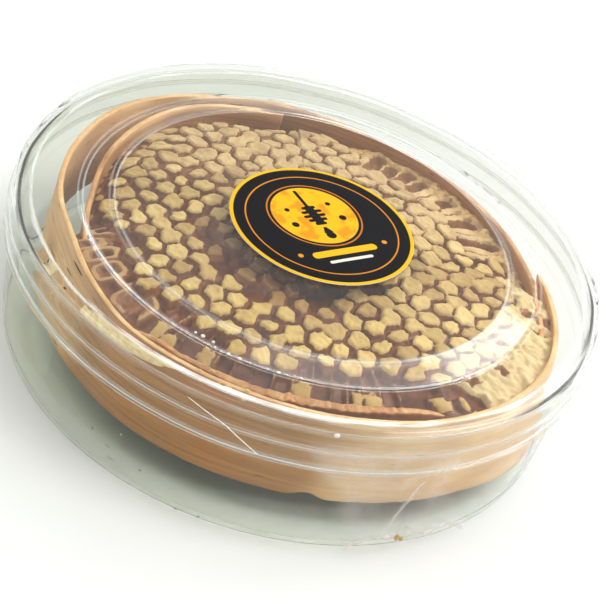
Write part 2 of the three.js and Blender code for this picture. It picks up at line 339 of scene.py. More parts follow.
def rounded_outline(*corners):
    """An open outline from rows of radius, height and rounding. At each inner corner a parabola leaves
    one side and meets the next at the distance that the rounding gives, and long sides are divided."""
    corners = np.array(corners, float)
    outline = [corners[0, :2]]
    for before, corner, after in zip(corners[:-2], corners[1:-1], corners[2:]):
        back, ahead = before[:2] - corner[:2], after[:2] - corner[:2]
        start = corner[:2] + back / np.hypot(*back) * min(corner[2], 0.5 * np.hypot(*back))
        end = corner[:2] + ahead / np.hypot(*ahead) * min(corner[2], 0.5 * np.hypot(*ahead))
        for t in np.linspace(0, 1, CORNER_STEPS):
            outline.append((1 - t) ** 2 * start + 2 * t * (1 - t) * corner[:2] + t * t * end)
    outline.append(corners[-1, :2])
    divided = [outline[0]]
    for start, end in zip(outline[:-1], outline[1:]):
        parts = max(1, math.ceil(np.hypot(*(end - start)) / LONGEST_SIDE))
        divided += [start + (end - start) * k / parts for k in range(1, parts + 1)]
    return np.array(divided)


def plastic_sway(x, y, height):
    """How far thin formed sheet stands off its true shape: long waves of 0.05 mm and short of 0.02."""
    long = 0.05 * sway(x + 0.7 * height, y - 0.5 * height, 23, seed=3)
    return long + 0.02 * sway(x, y + height, 7, seed=4)


def turned_piece(name, outline, material):
    """A closed turned shell: the outline, which runs from pole to pole on the axis, is carried round
    it, and a gentle waviness, which dies out at the foot, moves each point outwards and up alike."""
    turn = np.linspace(0, 2 * np.pi, TURNED_SIDES, endpoint=False)
    radius, height = outline[1:-1, 0][:, None], outline[1:-1, 1][:, None]
    x, y, z = radius * np.cos(turn), radius * np.sin(turn), height + 0 * turn
    off = plastic_sway(x, y, z) * np.clip(z / 3, 0, 1)
    x, y, z = x + off * np.cos(turn), y + off * np.sin(turn), z + 0.6 * off
    ring = np.stack([x, y, z], -1).reshape(-1, 3)
    poles = np.array([[0, 0, outline[0, 1]], [0, 0, outline[-1, 1]]])
    faces = globe_faces(len(outline) - 2, TURNED_SIDES)
    return make_piece(name, np.concatenate([ring, poles]), faces, material)


def clear_sheet(name, shaded_left_tint, lit_right_tint, lamp_tint, clouds, rings, bends, painted_light_bands):
    """Thin see-through sheet: for the eye it hardly bends light and has a gloss coat, and for light on its
    way from a lamp it is plain tinted film. Its tint is greener and darker on the left than on the right:
    painted shade, as the light comes from the right. It is milky in faint clouds, and painted highlights
    whiten it along rings, which are rows of radius and strength, and along bands of the wall, which are rows
    of height, half width and strength; a broad band can also lift shade with painted light. It shines most
    at its bends, which are rows of height and half width, and dust dulls it between them."""
    finish = Finish(name)
    place = finish.place()
    right, ahead = finish.axis(place, "X"), finish.axis(place, "Y")
    # Painted shade: the tint darkens towards the left, away from the light on the right.
    tint = finish.blend(right.rise(-25, 50), shaded_left_tint, lit_right_tint)
    height, shine = finish.axis(place, "Z"), FLAT_SHINE
    for middle, half in bends:
        shine = 1 - (1 - shine) * abs(height - middle).rise(half, half + 0.6)
    glass = finish.node("BsdfPrincipled", None, {
        "Base Color": tint,
        "Roughness": 0.03,
        "IOR": 1.06,
        "Transmission Weight": 1.0,
        "Coat Weight": shine,
        "Coat Roughness": 0.03,
        "Coat IOR": 1.5,
    })
    radius = finish.length(finish.node("CombineXYZ", None, {0: right, 1: ahead}))
    # Faint milky clouds, with painted highlights along the rings and bands, and painted light in the broad
    # band at the foot.
    haze_and_painted_light = finish.noise(finish.place((1, 0.4, 1)), 0.05, 4.0, 0.65).rise(0.1, 0.9) * clouds
    for middle, strength in rings:
        haze_and_painted_light = haze_and_painted_light.most((1 - abs(radius - middle).rise(0.05, 0.32)) * strength)
    on_wall = radius.rise(TUB_BASE_RADIUS - 1.4, TUB_BASE_RADIUS - 0.9)
    for middle, half, strength in painted_light_bands:
        haze_and_painted_light = haze_and_painted_light.most((1 - abs(height - middle).rise(0.2 * half, half)) * on_wall * strength)
    haze = finish.node("BsdfPrincipled", None, {"Base Color": colour(*HAZE_AND_HIGHLIGHT_COLOUR), "Roughness": 0.5})
    film = finish.node("BsdfTransparent", None, {"Color": lamp_tint})
    sheet = finish.node("MixShader", None, {0: haze_and_painted_light, 1: glass, 2: haze})
    lamp_ray = finish.node("LightPath", output="Is Shadow Ray")
    return finish.surface(finish.node("MixShader", None, {0: lamp_ray, 1: sheet, 2: film}))


tub_outline = rounded_outline(
    (0, 0, 0),
    (TUB_BASE_RADIUS - 0.6, 0, 1.6),
    (TUB_BASE_RADIUS, 1.8, 1.2),
    (TUB_TOP_RADIUS, LID_BOTTOM - 0.6, 1.5),
    (TUB_TOP_RADIUS, TUB_RIM, SOFT_EDGE),
    (TUB_TOP_RADIUS - PLASTIC, TUB_RIM, SOFT_EDGE),
    (TUB_TOP_RADIUS - PLASTIC, LID_BOTTOM - 0.6, 1.5),
    (TUB_BASE_RADIUS - PLASTIC, 2, 1.2),
    (TUB_BASE_RADIUS - PLASTIC - 0.9, TUB_FLOOR, 0.9),
    (0, TUB_FLOOR, 0),
)
# A faint painted highlight runs below the lid's skirt, and a broad milky band of painted light over the foot
# of the wall lifts the shade under the hoop.
tub_plastic = clear_sheet(
    "clear_tub_plastic",
    shaded_left_tint=(0.87, 0.895, 0.835, 1),
    lit_right_tint=(0.965, 0.975, 0.955, 1),
    lamp_tint=(0.94, 0.95, 0.92, 1),
    clouds=0.03,
    rings=[],
    bends=[(0, 1.4), (TUB_RIM, 0.6)],
    painted_light_bands=[(LID_BOTTOM - 1.6, HIGHLIGHT_HALF, 0.25), (3.5, 6.0, 0.17)],
)
tub = turned_piece("tub_sheet", tub_outline, tub_plastic)
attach(tub, "root")
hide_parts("tub")


# ---------------------------------------------------------------------------
# The lid: the same clear sheet, formed with a raised round panel, a groove round
# it, a rolled rim and a skirt with a bead, which snaps over the tub's wall.
# ---------------------------------------------------------------------------
SKIRT_RADIUS = 63.6
PANEL_RADIUS = 42.8
PANEL_HEIGHT = 33.7
GROOVE_RADIUS = 48.8
GROOVE_HEIGHT = 32.5
LID_RADIUS = 62
under_skirt = TUB_TOP_RADIUS + 0.4  # the skirt's inner face, clear of the tub's wall

lid_outline = rounded_outline(
    (0, PANEL_HEIGHT - PLASTIC, 0),
    (PANEL_RADIUS - 0.2, PANEL_HEIGHT - PLASTIC, 0.8),
    (GROOVE_RADIUS, GROOVE_HEIGHT - PLASTIC, 0.5),
    (GROOVE_RADIUS + 1.2, GROOVE_HEIGHT - PLASTIC + 0.3, 0.5),
    (LID_RADIUS - 2.2, GROOVE_HEIGHT - 0.1, 1),
    (under_skirt, TUB_RIM + 0.3, 0.7),
    (under_skirt, LID_BOTTOM + 7, 1.2),
    (SKIRT_RADIUS - PLASTIC - 0.1, LID_BOTTOM + 4, 1.2),
    (SKIRT_RADIUS - PLASTIC - 0.1, LID_BOTTOM + 1.2, 0.3),
    (SKIRT_RADIUS - PLASTIC - 0.3, LID_BOTTOM + 0.7, 0.2),
    (SKIRT_RADIUS - PLASTIC - 0.3, LID_BOTTOM, 0.3),
    (SKIRT_RADIUS, LID_BOTTOM, 0.3),
    (SKIRT_RADIUS, LID_BOTTOM + 0.7, 0.25),
    (SKIRT_RADIUS - 0.3, LID_BOTTOM + 1.1, 0.25),
    (SKIRT_RADIUS - 0.3, LID_BOTTOM + 4.2, 0.2),
    (SKIRT_RADIUS, LID_BOTTOM + 4.5, 0.2),
    (SKIRT_RADIUS, LID_BOTTOM + 4.9, 0.2),
    (SKIRT_RADIUS - 0.35, LID_BOTTOM + 5.2, 0.2),
    (SKIRT_RADIUS - 0.6, LID_BOTTOM + 8.1, 0.5),
    (LID_RADIUS + 0.9, RIM_HEIGHT - 0.8, 0.4),
    (LID_RADIUS + 0.2, RIM_HEIGHT - 0.1, 0.4),
    (LID_RADIUS - 1, RIM_HEIGHT, 0.5),
    (LID_RADIUS - 3.4, RIM_HEIGHT - 0.4, 0.8),
    (GROOVE_RADIUS + 0.9, GROOVE_HEIGHT + 0.3, 0.4),
    (GROOVE_RADIUS + 0.2, GROOVE_HEIGHT, 0.4),
    (PANEL_RADIUS + 0.4, PANEL_HEIGHT - 0.1, 0.5),
    (PANEL_RADIUS - 0.2, PANEL_HEIGHT, 0.5),
    (0, PANEL_HEIGHT, 0),
)
# Painted highlights: the sheet is whitened a little where it is bent, in place of the light that the bends
# catch: at the panel's edge, the groove, the skirt's lower edge and bead, and under the rim. The skirt's
# highlight lines are rows of height above its edge and strength.
SKIRT_HIGHLIGHTS = [(0.15, 0.85), (1, 0.3), (4.4, 0.7), (5, 0.3), (9.4, 0.5)]
lid_plastic = clear_sheet(
    "clear_lid_plastic",
    shaded_left_tint=(0.925, 0.94, 0.915, 1),
    lit_right_tint=(0.975, 0.98, 0.968, 1),
    lamp_tint=(0.955, 0.962, 0.945, 1),
    clouds=0.02,
    rings=[
        (PANEL_RADIUS - 0.3, 0.26), (PANEL_RADIUS + 0.7, 0.12),
        (GROOVE_RADIUS, 0.22), (GROOVE_RADIUS + 1.1, 0.14),
    ],
    bends=[(33, 1.6), (LID_BOTTOM + 0.5, 0.6), (LID_BOTTOM + 4.7, 0.4)],
    painted_light_bands=[(LID_BOTTOM + up, HIGHLIGHT_HALF, strength) for up, strength in SKIRT_HIGHLIGHTS],
)
lid = turned_piece("lid_sheet", lid_outline, lid_plastic)
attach(lid, "root")
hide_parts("lid")


# ---------------------------------------------------------------------------
# The hoop: one long strip of peeled wood veneer, wound nearly twice round, with
# straight grain along it. Its outer end is torn to a point near the right.
# ---------------------------------------------------------------------------
VENEER = 1.2  # the strip's thickness
HOOP_TOP = 28.1
HOOP_BOTTOM = 6.7
HOOP_TIP = 19  # direction of the outer end
HOOP_WOUND = 632  # degrees from the outer end to the inner one
HOOP_STEP = 0.5
HOOP_MEAN = 0.86  # the strip's usual radius, as a part of the lid's
EDGE_FRAY = 0.06
SUNK_DEPTH = 3.4
TORN_LENGTH = 16  # degrees over which the outer end narrows
TORN_HEIGHT = 1.2  # of the strip at its torn tip

# Rows: degrees wound clockwise from the outer end, then the radius of the outer
# face at the upper and at the lower edge, as parts of the lid's radius.
HOOP_COURSE = np.array([
    (0, 0.848, 0.858), (18, 0.892, 0.93), (39, 0.92, 0.952), (62, 0.908, 0.908),
    (88, 0.868, 0.868), (112, 0.852, 0.85), (140, 0.857, 0.857), (160, 0.836, 0.852),
    (176, 0.832, 0.862), (197, 0.88, 0.9), (222, 0.932, 0.932), (240, 0.944, 0.944),
    (262, 0.9, 0.9), (290, 0.852, 0.852), (320, 0.83, 0.83), (352, 0.815, 0.815),
    (370, 0.83, 0.83), (394, 0.874, 0.874), (412, 0.862, 0.862), (438, 0.806, 0.806),
    (455, 0.788, 0.788), (472, 0.8, 0.8), (500, 0.815, 0.815), (530, 0.784, 0.784),
    (557, 0.765, 0.765), (580, 0.812, 0.812), (605, 0.868, 0.868), (632, 0.84, 0.84),
])

# Stretches of the strip in degrees wound: where each begins, is whole, fades and ends.
NEAR_FACE = (84, 112, 142, 164)  # outer face, brown with honey
PAINTED_LIGHT_RIGHT = (10, 34, 84, 112)  # outer face, painted lighter where the light falls
PAINTED_LIGHT_LEFT = (168, 190, 250, 275)  # inner face, painted lighter where it lies in shade
DENT = (89, 93.5, 93.5, 98.5)  # a chip out of the lower edge
RAISED_EDGE = (200, 212, 226, 238)
SECOND_TURN = (380, 400)  # where the inner turn's finish begins
FAR_WALL = (264, 276, *SECOND_TURN)  # wet inner face at the back
INNER_END = (560, 585)  # where the inner turn comes out of the wax
SUNK_RIGHT = (418, 436)  # where the right-hand dip of the inner turn ends
SUNK_NEAR = (493, 508, 530, 541)
WAX_RIGHT = (362, 370, 420, 436)
WAX_NEAR = (494, 508, 533, 547)
UNDER_RIM = (425, 440, 484, 500)  # torn upper edge just inside the lid's groove
FLARED = (420, 452, 466, 492)  # upper edge bent outwards
WET_EDGE = (418, 436, 566, 590)


def smooth_rise(value, low, high):
    """0 up to low, 1 from high on, and 3t² - 2t³ between them."""
    t = np.clip((value - low) / (high - low), 0, 1)
    return t * t * (3 - 2 * t)


def stretch(wound, begin, whole, fade, end):
    """1 from whole to fade, and 0 up to begin and from end on, with smooth slopes between."""
    return smooth_rise(wound, begin, whole) - smooth_rise(wound, fade, end)


def along_course(wound, column):
    """A smooth curve through one column of the course: between two rows, the cubic whose slope at each
    row is that of the line between the row's neighbours."""
    table = HOOP_COURSE
    last = len(table) - 1
    left = np.clip(np.searchsorted(table[:, 0], wound) - 1, 0, last - 1)

    def slope(row):
        before, after = np.maximum(row - 1, 0), np.minimum(row + 1, last)
        return (table[after, column] - table[before, column]) / (table[after, 0] - table[before, 0])

    span = table[left + 1, 0] - table[left, 0]
    t = np.clip((wound - table[left, 0]) / span, 0, 1)
    climb = table[left + 1, column] - table[left, column]
    bend = (1 - t) * (slope(left) * span - climb) - t * (slope(left + 1) * span - climb)
    return table[left, column] + t * climb + t * (1 - t) * bend


def strip_radius(wound, height):
    """Radius of the strip's outer face: its upper and lower course, blended by height."""
    share = (height - HOOP_BOTTOM) / (HOOP_TOP - HOOP_BOTTOM)
    upper, lower = along_course(wound, 1), along_course(wound, 2)
    return LID_RADIUS * (lower + (upper - lower) * share)


def strip_sunk(wound):
    """1 where the inner turn has slipped down under the cells, in two steps at the right, else 0."""
    right = 0.25 * smooth_rise(wound, 364, 370) + 0.75 * smooth_rise(wound, 380, 392)
    return right - smooth_rise(wound, *SUNK_RIGHT) + stretch(wound, *SUNK_NEAR)


def wax_spread(wound):
    """1 where wax covers the inner turn and reaches the outer one, else 0."""
    return stretch(wound, *WAX_RIGHT) + stretch(wound, *WAX_NEAR)


def tube_faces(rings, sides):
    """The faces of a closed tube: the grid round it and one face over each end."""
    side = np.arange(sides)
    return [grid_faces(rings, sides, ring=True), side[::-1][None], (side + (rings - 1) * sides)[None]]


def hoop():
    """A section with rounded edges is carried along the spiral. The point at the share v up a face
    stands at bottom + v (top - bottom), and the strip thins and narrows to its torn outer end. Both
    edges sway and are frayed; the lower one is raised at the left and has a dent near the front."""
    wound = np.arange(0, HOOP_WOUND + HOOP_STEP / 2, HOOP_STEP)
    random = np.random.default_rng(21)
    frayed = np.convolve(random.normal(0, 1, len(wound)), [0.25, 0.5, 0.25], mode="same")
    inner = smooth_rise(wound, 350, 400)
    under_rim = stretch(wound, *UNDER_RIM)
    top = HOOP_TOP - 0.5 * inner - SUNK_DEPTH * strip_sunk(wound) + 0.25 * np.sin(np.radians(3 * wound))
    top = top + (EDGE_FRAY + 0.12 * under_rim) * frayed - 0.3 * under_rim
    torn = 1 - np.clip(wound / TORN_LENGTH, 0, 1) ** 0.7
    low = HOOP_BOTTOM + 0.2 * np.sin(np.radians(2 * wound)) + 0.05 * np.roll(frayed, 40)
    low = low + 2.6 * stretch(wound, *RAISED_EDGE)
    low = low + 1.3 * stretch(wound, *DENT)
    bottom = low + (top - TORN_HEIGHT - low) * torn
    thin = VENEER * np.clip(0.45 + wound / 20, 0, 1)

    rising = np.linspace(0.012, 0.988, 16)
    edge = np.array([0.9965, 1.0, 1.0, 0.9965])
    edge_inward = [0.12, 0.36, 0.64, 0.88]
    share = np.concatenate([rising, edge, rising[::-1], 1 - edge])
    inward = np.concatenate([0 * rising, edge_inward, 0 * rising + 1, edge_inward[::-1]])
    face = np.concatenate([0 * rising, [0.5] * 4, 0 * rising + 1, [0.5] * 4])
    height = bottom[:, None] + (top - bottom)[:, None] * share
    along = wound[:, None]
    turn = np.radians(HOOP_TIP - along)
    length = np.radians(along) * HOOP_MEAN * LID_RADIUS
    grain = 0.05 * sway(length * 0.15, height * 3, 6, seed=11)
    grain = grain + 0.12 * sway(length, height * 0.6, 26, seed=12)
    flared = stretch(wound, *FLARED) * (1.3 + 0.4 * np.roll(frayed, 90))
    flare = flared[:, None] * smooth_rise(height, HOOP_TOP - 3.6, HOOP_TOP - 0.5) * (1 - inward)
    radius = strip_radius(along, height) + grain - inward * thin[:, None] + flare
    marks = {
        "length": np.broadcast_to(length, height.shape).ravel(),
        "height": height.ravel(),
        "inner_face": np.broadcast_to(face, height.shape).ravel(),
        "wound": np.broadcast_to(along, height.shape).ravel(),
        "top_edge": (share * np.ones_like(height) > 0.995).astype(float).ravel(),
    }
    return polar(radius, turn, height).reshape(-1, 3), tube_faces(len(wound), len(share)), marks


def veneer_finish():
    """Straight-grained peeled wood: pale where no honey soaks it, tan and orange-brown where honey does, and
    made paler by painted light along two stretches.
    """
    finish = Finish("peeled_veneer")
    along, height = finish.mark("length"), finish.mark("height")
    side = finish.mark("inner_face") * 9  # sets the two faces' grain apart
    streak = finish.node("CombineXYZ", None, {0: along * 0.035, 1: height * 1.3, 2: side})
    fibre = finish.node("CombineXYZ", None, {0: along * 0.16, 1: height * 6.0, 2: side})
    broad = finish.noise(streak, 1.0, 3.0, 0.55)
    fine = finish.noise(fibre, 1.0, 2.0, 0.6)
    cloud = finish.noise(finish.place(), 0.07, 2.0)
    pale = finish.blend(broad.rise(0.3, 0.7), colour(208, 158, 100), colour(238, 194, 138))
    tan = finish.blend(broad.rise(0.3, 0.72), colour(150, 98, 44), colour(182, 128, 68))
    wet = finish.blend(broad.rise(0.3, 0.7), colour(160, 94, 40), colour(204, 136, 72))
    dash = finish.node("CombineXYZ", None, {0: along * 0.2, 1: height * 1.1, 2: 3.0})
    fleck = finish.noise(dash, 1.0, 0.0).rise(0.77, 0.8)
    dry_edge = finish.blend(fine.rise(0.35, 0.7), colour(212, 162, 104), colour(234, 196, 142))
    wet_edge = finish.blend(fine.rise(0.3, 0.7), colour(126, 74, 34), colour(206, 142, 80))
    edge = finish.blend(finish.mark("wet_edge"), dry_edge, wet_edge)
    # How far honey soaks the wood, with some painted shade at the inner turn's end.
    soak_and_shade = finish.mark("soak_and_shade")
    wood = finish.coats(
        pale,
        # Painted light: paler on the outer face at the right, where the light falls, and on the inner face
        # at the far left, which lies in shade.
        (finish.mark("painted_light") * 0.6, colour(240, 208, 168)),
        (soak_and_shade.rise(0.0, 0.5), tan),
        (soak_and_shade.rise(0.5, 1.0), wet),
        (fine.rise(0.35, 0.75) * 0.3, colour(158, 108, 62)),
        (cloud.rise(0.42, 0.7) * 0.3, colour(186, 132, 84)),
        (fleck * 0.7, colour(92, 58, 34)),
        (finish.mark("top_edge") * 0.9, edge),
    )
    shader = finish.node("BsdfPrincipled", None, {
        "Base Color": wood,
        "Roughness": 0.55 - 0.2 * soak_and_shade,
        "Normal": finish.bump(broad * 0.6 + fine * 0.4, 0.12, 0.7),
    })
    return finish.surface(shader)


def hoop_stains(marks, wound):
    """Adds marks from 0 to 1: how far honey soaks the wood, with painted shade near the inner turn's end,
    where painted light makes it paler, and where its upper edge shows end grain, wet or not. Soft clouds of
    a few hundredths break them up."""
    length, level = marks["length"], marks["height"]
    inner_side = marks["inner_face"] > 0.5
    second_turn = smooth_rise(wound, *SECOND_TURN)
    inner_end = smooth_rise(wound, *INNER_END)
    far_wall = stretch(wound, *FAR_WALL)
    outer_soaked = 0.1 + 0.62 * stretch(wound, *NEAR_FACE) + 0.7 * second_turn * (1 - inner_end)
    inner_soak_and_shade = 0.16 + 0.34 * far_wall + 0.3 * second_turn * (1 - 0.6 * inner_end)
    # Painted shade: the inner turn's face is darkened towards its end, where it catches more light than the
    # far wall beside it.
    inner_soak_and_shade = inner_soak_and_shade + 0.2 * smooth_rise(wound, 596, HOOP_WOUND)
    soak_and_shade = np.where(inner_side, inner_soak_and_shade, outer_soaked)
    marks["soak_and_shade"] = np.clip(soak_and_shade + 0.06 * sway(length, level * 2, 20, seed=31), 0, 1)
    # Painted light: the right-hand stretch of the outer face and the far-left stretch of the inner face are
    # made paler.
    marks["painted_light"] = ~inner_side * stretch(wound, *PAINTED_LIGHT_RIGHT) + 0.9 * (inner_side * stretch(wound, *PAINTED_LIGHT_LEFT))
    wet_edge = 0.75 * stretch(wound, *WET_EDGE) + 0.7 * far_wall
    marks["wet_edge"] = wet_edge + 0.15 * sway(length, level, 9, seed=32)
    edge_depth = smooth_rise(level, HOOP_TOP - 2.6, HOOP_TOP - 0.8) * inner_end
    marks["top_edge"] = np.maximum(marks["top_edge"], 0.8 * edge_depth)
    return marks


hoop_points, hoop_faces, hoop_marks = hoop()
hoop_marks = hoop_stains(hoop_marks, hoop_marks.pop("wound"))
strip = make_piece("veneer_strip", hoop_points, hoop_faces, veneer_finish(), hoop_marks)
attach(strip, "root")
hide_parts("hoop")


# ---------------------------------------------------------------------------
# The comb: two layers of wax cells back to back, full of dark honey. The bees
# capped most cells with cream wax and joined the outer ones to the wood.
# ---------------------------------------------------------------------------
CELL_PITCH = 5.05
ROW_STEP = CELL_PITCH * math.sqrt(3) / 2
COMB_TOP = 30.3
COMB_BOTTOM = 1.1
COMB_EDGE_DROP = 6.5
COMB_EDGE_RISE = 5.8
COMB_MIDDLE = 15.5
CAP_HEIGHT = 1.4
CAP_GAP = 0.15  # how far the caps may rise above their own height
CAP_INSET = 0.6  # from a cell's walls to its cap's border
CAP_SLANT = 0.36
CELL_STRAY = 0.8  # width of the square that a cell's centre is drawn from
JOINED_CAPS = 0.05  # share of the walls that caps run across
MISSING_CAPS = 0.035  # share of the capped cells
EDGE_CELLS = 72
FAR = 9.0  # a distance past every border
NEIGHBOURS = [(1, 0), (-1, 0), (0, 1), (0, -1), (1, -1), (-1, 1)]

# Whole capped cells end at this share of the comb's reach, and earlier where broken
# ones line the wood. Rows: direction and half width in degrees, and how much earlier.
CAPPED_SHARE = 0.945
BROKEN_SECTORS = [(-85, 36, 0.115), (-142, 18, 0.105), (-14, 26, 0.15), (56, 28, 0.17)]

# Regions of the upper face: far side, left, dim patch by the label, right and near
# side. Rows: middle and half sizes in parts of the lid's radius, and turn.
REGIONS = [
    ((-0.1, 0.5), (0.75, 0.38), 0),
    ((-0.5, -0.1), (0.36, 0.5), 0),
    ((-0.1, -0.2), (0.34, 0.17), -25),
    ((0.5, 0.02), (0.36, 0.6), 0),
    ((0.15, -0.5), (0.55, 0.28), 0),
]

# Zones of broken cells in degrees: along the near side, left, right and far right.
EDGE_ZONES = [(237, 323), (197, 237), (323, 17), (17, 88)]

# Rounded pools of honey in the wax beside the sunk turn and at the right. Rows:
# direction in degrees, radius, half width along the wood, half length towards it.
POOLS = [
    (-154, 48.0, 1.1, 2.6), (-149.3, 45.5, 1.3, 2.5), (-142.8, 45.7, 1.8, 2.4), (-160, 44.0, 1.2, 1.4),
    (-137.6, 43.2, 1.2, 1.6), (-129.5, 45.6, 3.4, 3.2), (2.6, 48.4, 1.7, 1.5), (1.8, 52.2, 1.5, 2.2),
    (-3.2, 51.8, 0.8, 2.2), (-24, 49.2, 1.5, 1.6), (-15, 45.5, 1.0, 1.2), (-34, 47.5, 1.6, 1.2),
]


def innermost_wood(degrees):
    """Radius of the innermost face of wood in each direction, and the outer turn's inner face."""
    first = np.mod(HOOP_TIP - degrees, 360)
    second = first + 360
    outer = strip_radius(first, HOOP_TOP) - VENEER
    inner = np.where(second <= HOOP_WOUND + 4, strip_radius(second, HOOP_TOP) - VENEER, outer)
    return np.minimum(outer, inner), outer


def comb_reach(degrees, upper):
    """Radius where the comb meets the wood, just inside it: the innermost face, or the outer turn
    where wax spreads over the sunk one; and how far it spreads."""
    wood, outer_turn = innermost_wood(degrees)
    spread = wax_spread(np.mod(HOOP_TIP - degrees, 360) + 360) if upper else 0 * degrees
    return wood + (outer_turn - wood) * spread + 0.15, spread


def disc_grid(side):
    """A square grid of side + 1 points each way, bent to a disc: each ring of the square becomes a
    circle. Returns the share of the radius and the direction in radians."""
    a, b = np.meshgrid(np.linspace(-1, 1, side + 1), np.linspace(-1, 1, side + 1))
    wide = np.abs(a) >= np.abs(b)
    share = np.where(wide, a, b)
    ratio = np.divide(np.where(wide, b, a), share, out=np.zeros_like(a), where=share != 0)
    turn = np.where(wide, ratio * np.pi / 4, np.pi / 2 - ratio * np.pi / 4)
    x, y = share * np.cos(turn), share * np.sin(turn)
    return np.hypot(x, y), np.arctan2(y, x)


def hash_share(*whole):
    """A repeatable random number from 0 to 1 for each set of whole numbers: each number in turn is
    added, and shifts and odd factors mix the bits of the sum."""
    mixed = np.zeros(np.broadcast(*whole).shape, np.uint64)
    for k, number in enumerate(whole):
        whole_number = np.asarray(number).astype(np.int64).astype(np.uint64)
        mixed = (mixed + whole_number + np.uint64(11 + k)) * np.uint64(0x9E3779B97F4A7C15)
        mixed ^= mixed >> np.uint64(29)
        mixed *= np.uint64(0xBF58476D1CE4E5B9)
        mixed ^= mixed >> np.uint64(32)
    return (mixed >> np.uint64(11)).astype(float) / float(1 << 53)


def cell_centre(q, r, seed):
    """The point of a hexagonal lattice in column q and row r, moved a little at random."""
    dx = CELL_STRAY * (hash_share(q, r, seed) - 0.5)
    dy = CELL_STRAY * (hash_share(q, r, seed + 1) - 0.5)
    return (q + r / 2) * CELL_PITCH + dx, r * ROW_STEP + dy


def nearest_cell(x, y, seed):
    """The column and row of the cell whose centre is nearest to each point."""
    row = np.round(y / ROW_STEP)
    column = np.round(x / CELL_PITCH - row / 2)
    best, q, r = np.full(x.shape, 1e9), column.copy(), row.copy()
    for dq, dr in [(0, 0), *NEIGHBOURS]:
        cx, cy = cell_centre(column + dq, row + dr, seed)
        far = (x - cx) ** 2 + (y - cy) ** 2
        nearer = far < best
        best = np.where(nearer, far, best)
        q, r = np.where(nearer, column + dq, q), np.where(nearer, row + dr, r)
    return q, r


def patch(x, y, middle, reach, degrees):
    """1 in the middle of a soft ellipse and 0 outside it, in parts of the lid's radius."""
    turn = math.radians(degrees)
    dx, dy = x / LID_RADIUS - middle[0], y / LID_RADIUS - middle[1]
    u = (dx * math.cos(turn) + dy * math.sin(turn)) / reach[0]
    v = (dy * math.cos(turn) - dx * math.sin(turn)) / reach[1]
    return 1 - smooth_rise(np.hypot(u, v), 0.6, 1.15)


def sector(degrees, middle, half, soft):
    """1 in directions within half of the middle one, falling to 0 over the next soft degrees."""
    off = np.abs(np.mod(degrees - middle + 180, 360) - 180)
    return 1 - smooth_rise(off, half, half + soft)


def is_capped(q, r, cx, cy, seed, upper):
    """Whether a cell is a whole capped one: its centre lies nearer the middle than the share of the
    comb's reach at which the broken cells along the wood begin in its direction."""
    degrees = np.degrees(np.arctan2(cy, cx))
    begin = CAPPED_SHARE
    for middle, half, earlier in BROKEN_SECTORS:
        begin = begin - earlier * sector(degrees, middle, half, 8)
    begin = begin + 0.035 * (hash_share(q, r, seed + 31) - 0.5)
    reach, _ = comb_reach(np.mod(degrees, 360), upper)
    return np.hypot(cx, cy) < begin * reach


def capped_cells(x, y, seed, upper):
    """For each point: wax, how far it lies inside its cell's cap in millimetres (below 0 in the groove
    between caps), whether its cell is capped or has lost its cap, the distance to the nearest capped
    cell, its cell's centre and random numbers, and the soft maps of the comb's regions.

    A cap's border keeps a distance from each wall of its cell, which is drawn for each wall, and less
    of it in the corners, so that caps are uneven polygons whose corners reach out. Some caps join."""
    bent_x, bent_y = x + 0.2 * sway(x, y, 9, seed), y + 0.2 * sway(x, y, 9, seed + 1)
    q, r = nearest_cell(bent_x, bent_y, seed)
    cx, cy = cell_centre(q, r, seed)
    far_side, left, dim, right, near = regions = [patch(cx, cy, *row) for row in REGIONS]
    draws = [hash_share(q, r, seed + k) for k in range(10, 16)]

    base = CAP_INSET + 0.36 * (draws[2] - 0.5) + 0.08 * left + 0.36 * dim
    base = base - 0.12 * far_side - 0.16 * right + 0.12 * near
    merged = JOINED_CAPS + 0.08 * far_side + 0.1 * right
    own = (bent_x - cx) ** 2 + (bent_y - cy) ** 2
    whole = is_capped(q, r, cx, cy, seed, upper)
    gaps, beside_cap = [], np.full(x.shape, FAR)
    for dq, dr in NEIGHBOURS:
        nx, ny = cell_centre(q + dq, r + dr, seed)
        gap = ((bent_x - nx) ** 2 + (bent_y - ny) ** 2 - own) / (2 * np.hypot(nx - cx, ny - cy))
        pair = hash_share(q + q + dq, r + r + dr, seed + 7)
        next_whole = is_capped(q + dq, r + dr, nx, ny, seed, upper)
        joined = (pair < merged) & next_whole
        gaps.append(np.where(joined, FAR, gap - base * (0.6 + 0.8 * pair) + base))
        beside_cap = np.minimum(beside_cap, np.where(next_whole, gap, FAR))
    gaps = np.sort(gaps, axis=0)
    inset = base * (0.93 + 0.07 * smooth_rise(gaps[1] - gaps[0], 0.1, 1.0))
    ragged = 0.15 * sway(x, y, 2.4, seed + 5) + 0.07 * sway(x, y, 1.0, seed + 6)
    wax = gaps[0] - inset + ragged
    missing = draws[0] < MISSING_CAPS + 0.3 * dim
    wax = np.where(missing, -1.0, np.minimum(wax, 2.5))
    return wax, whole, missing, beside_cap, (cx, cy), draws, regions


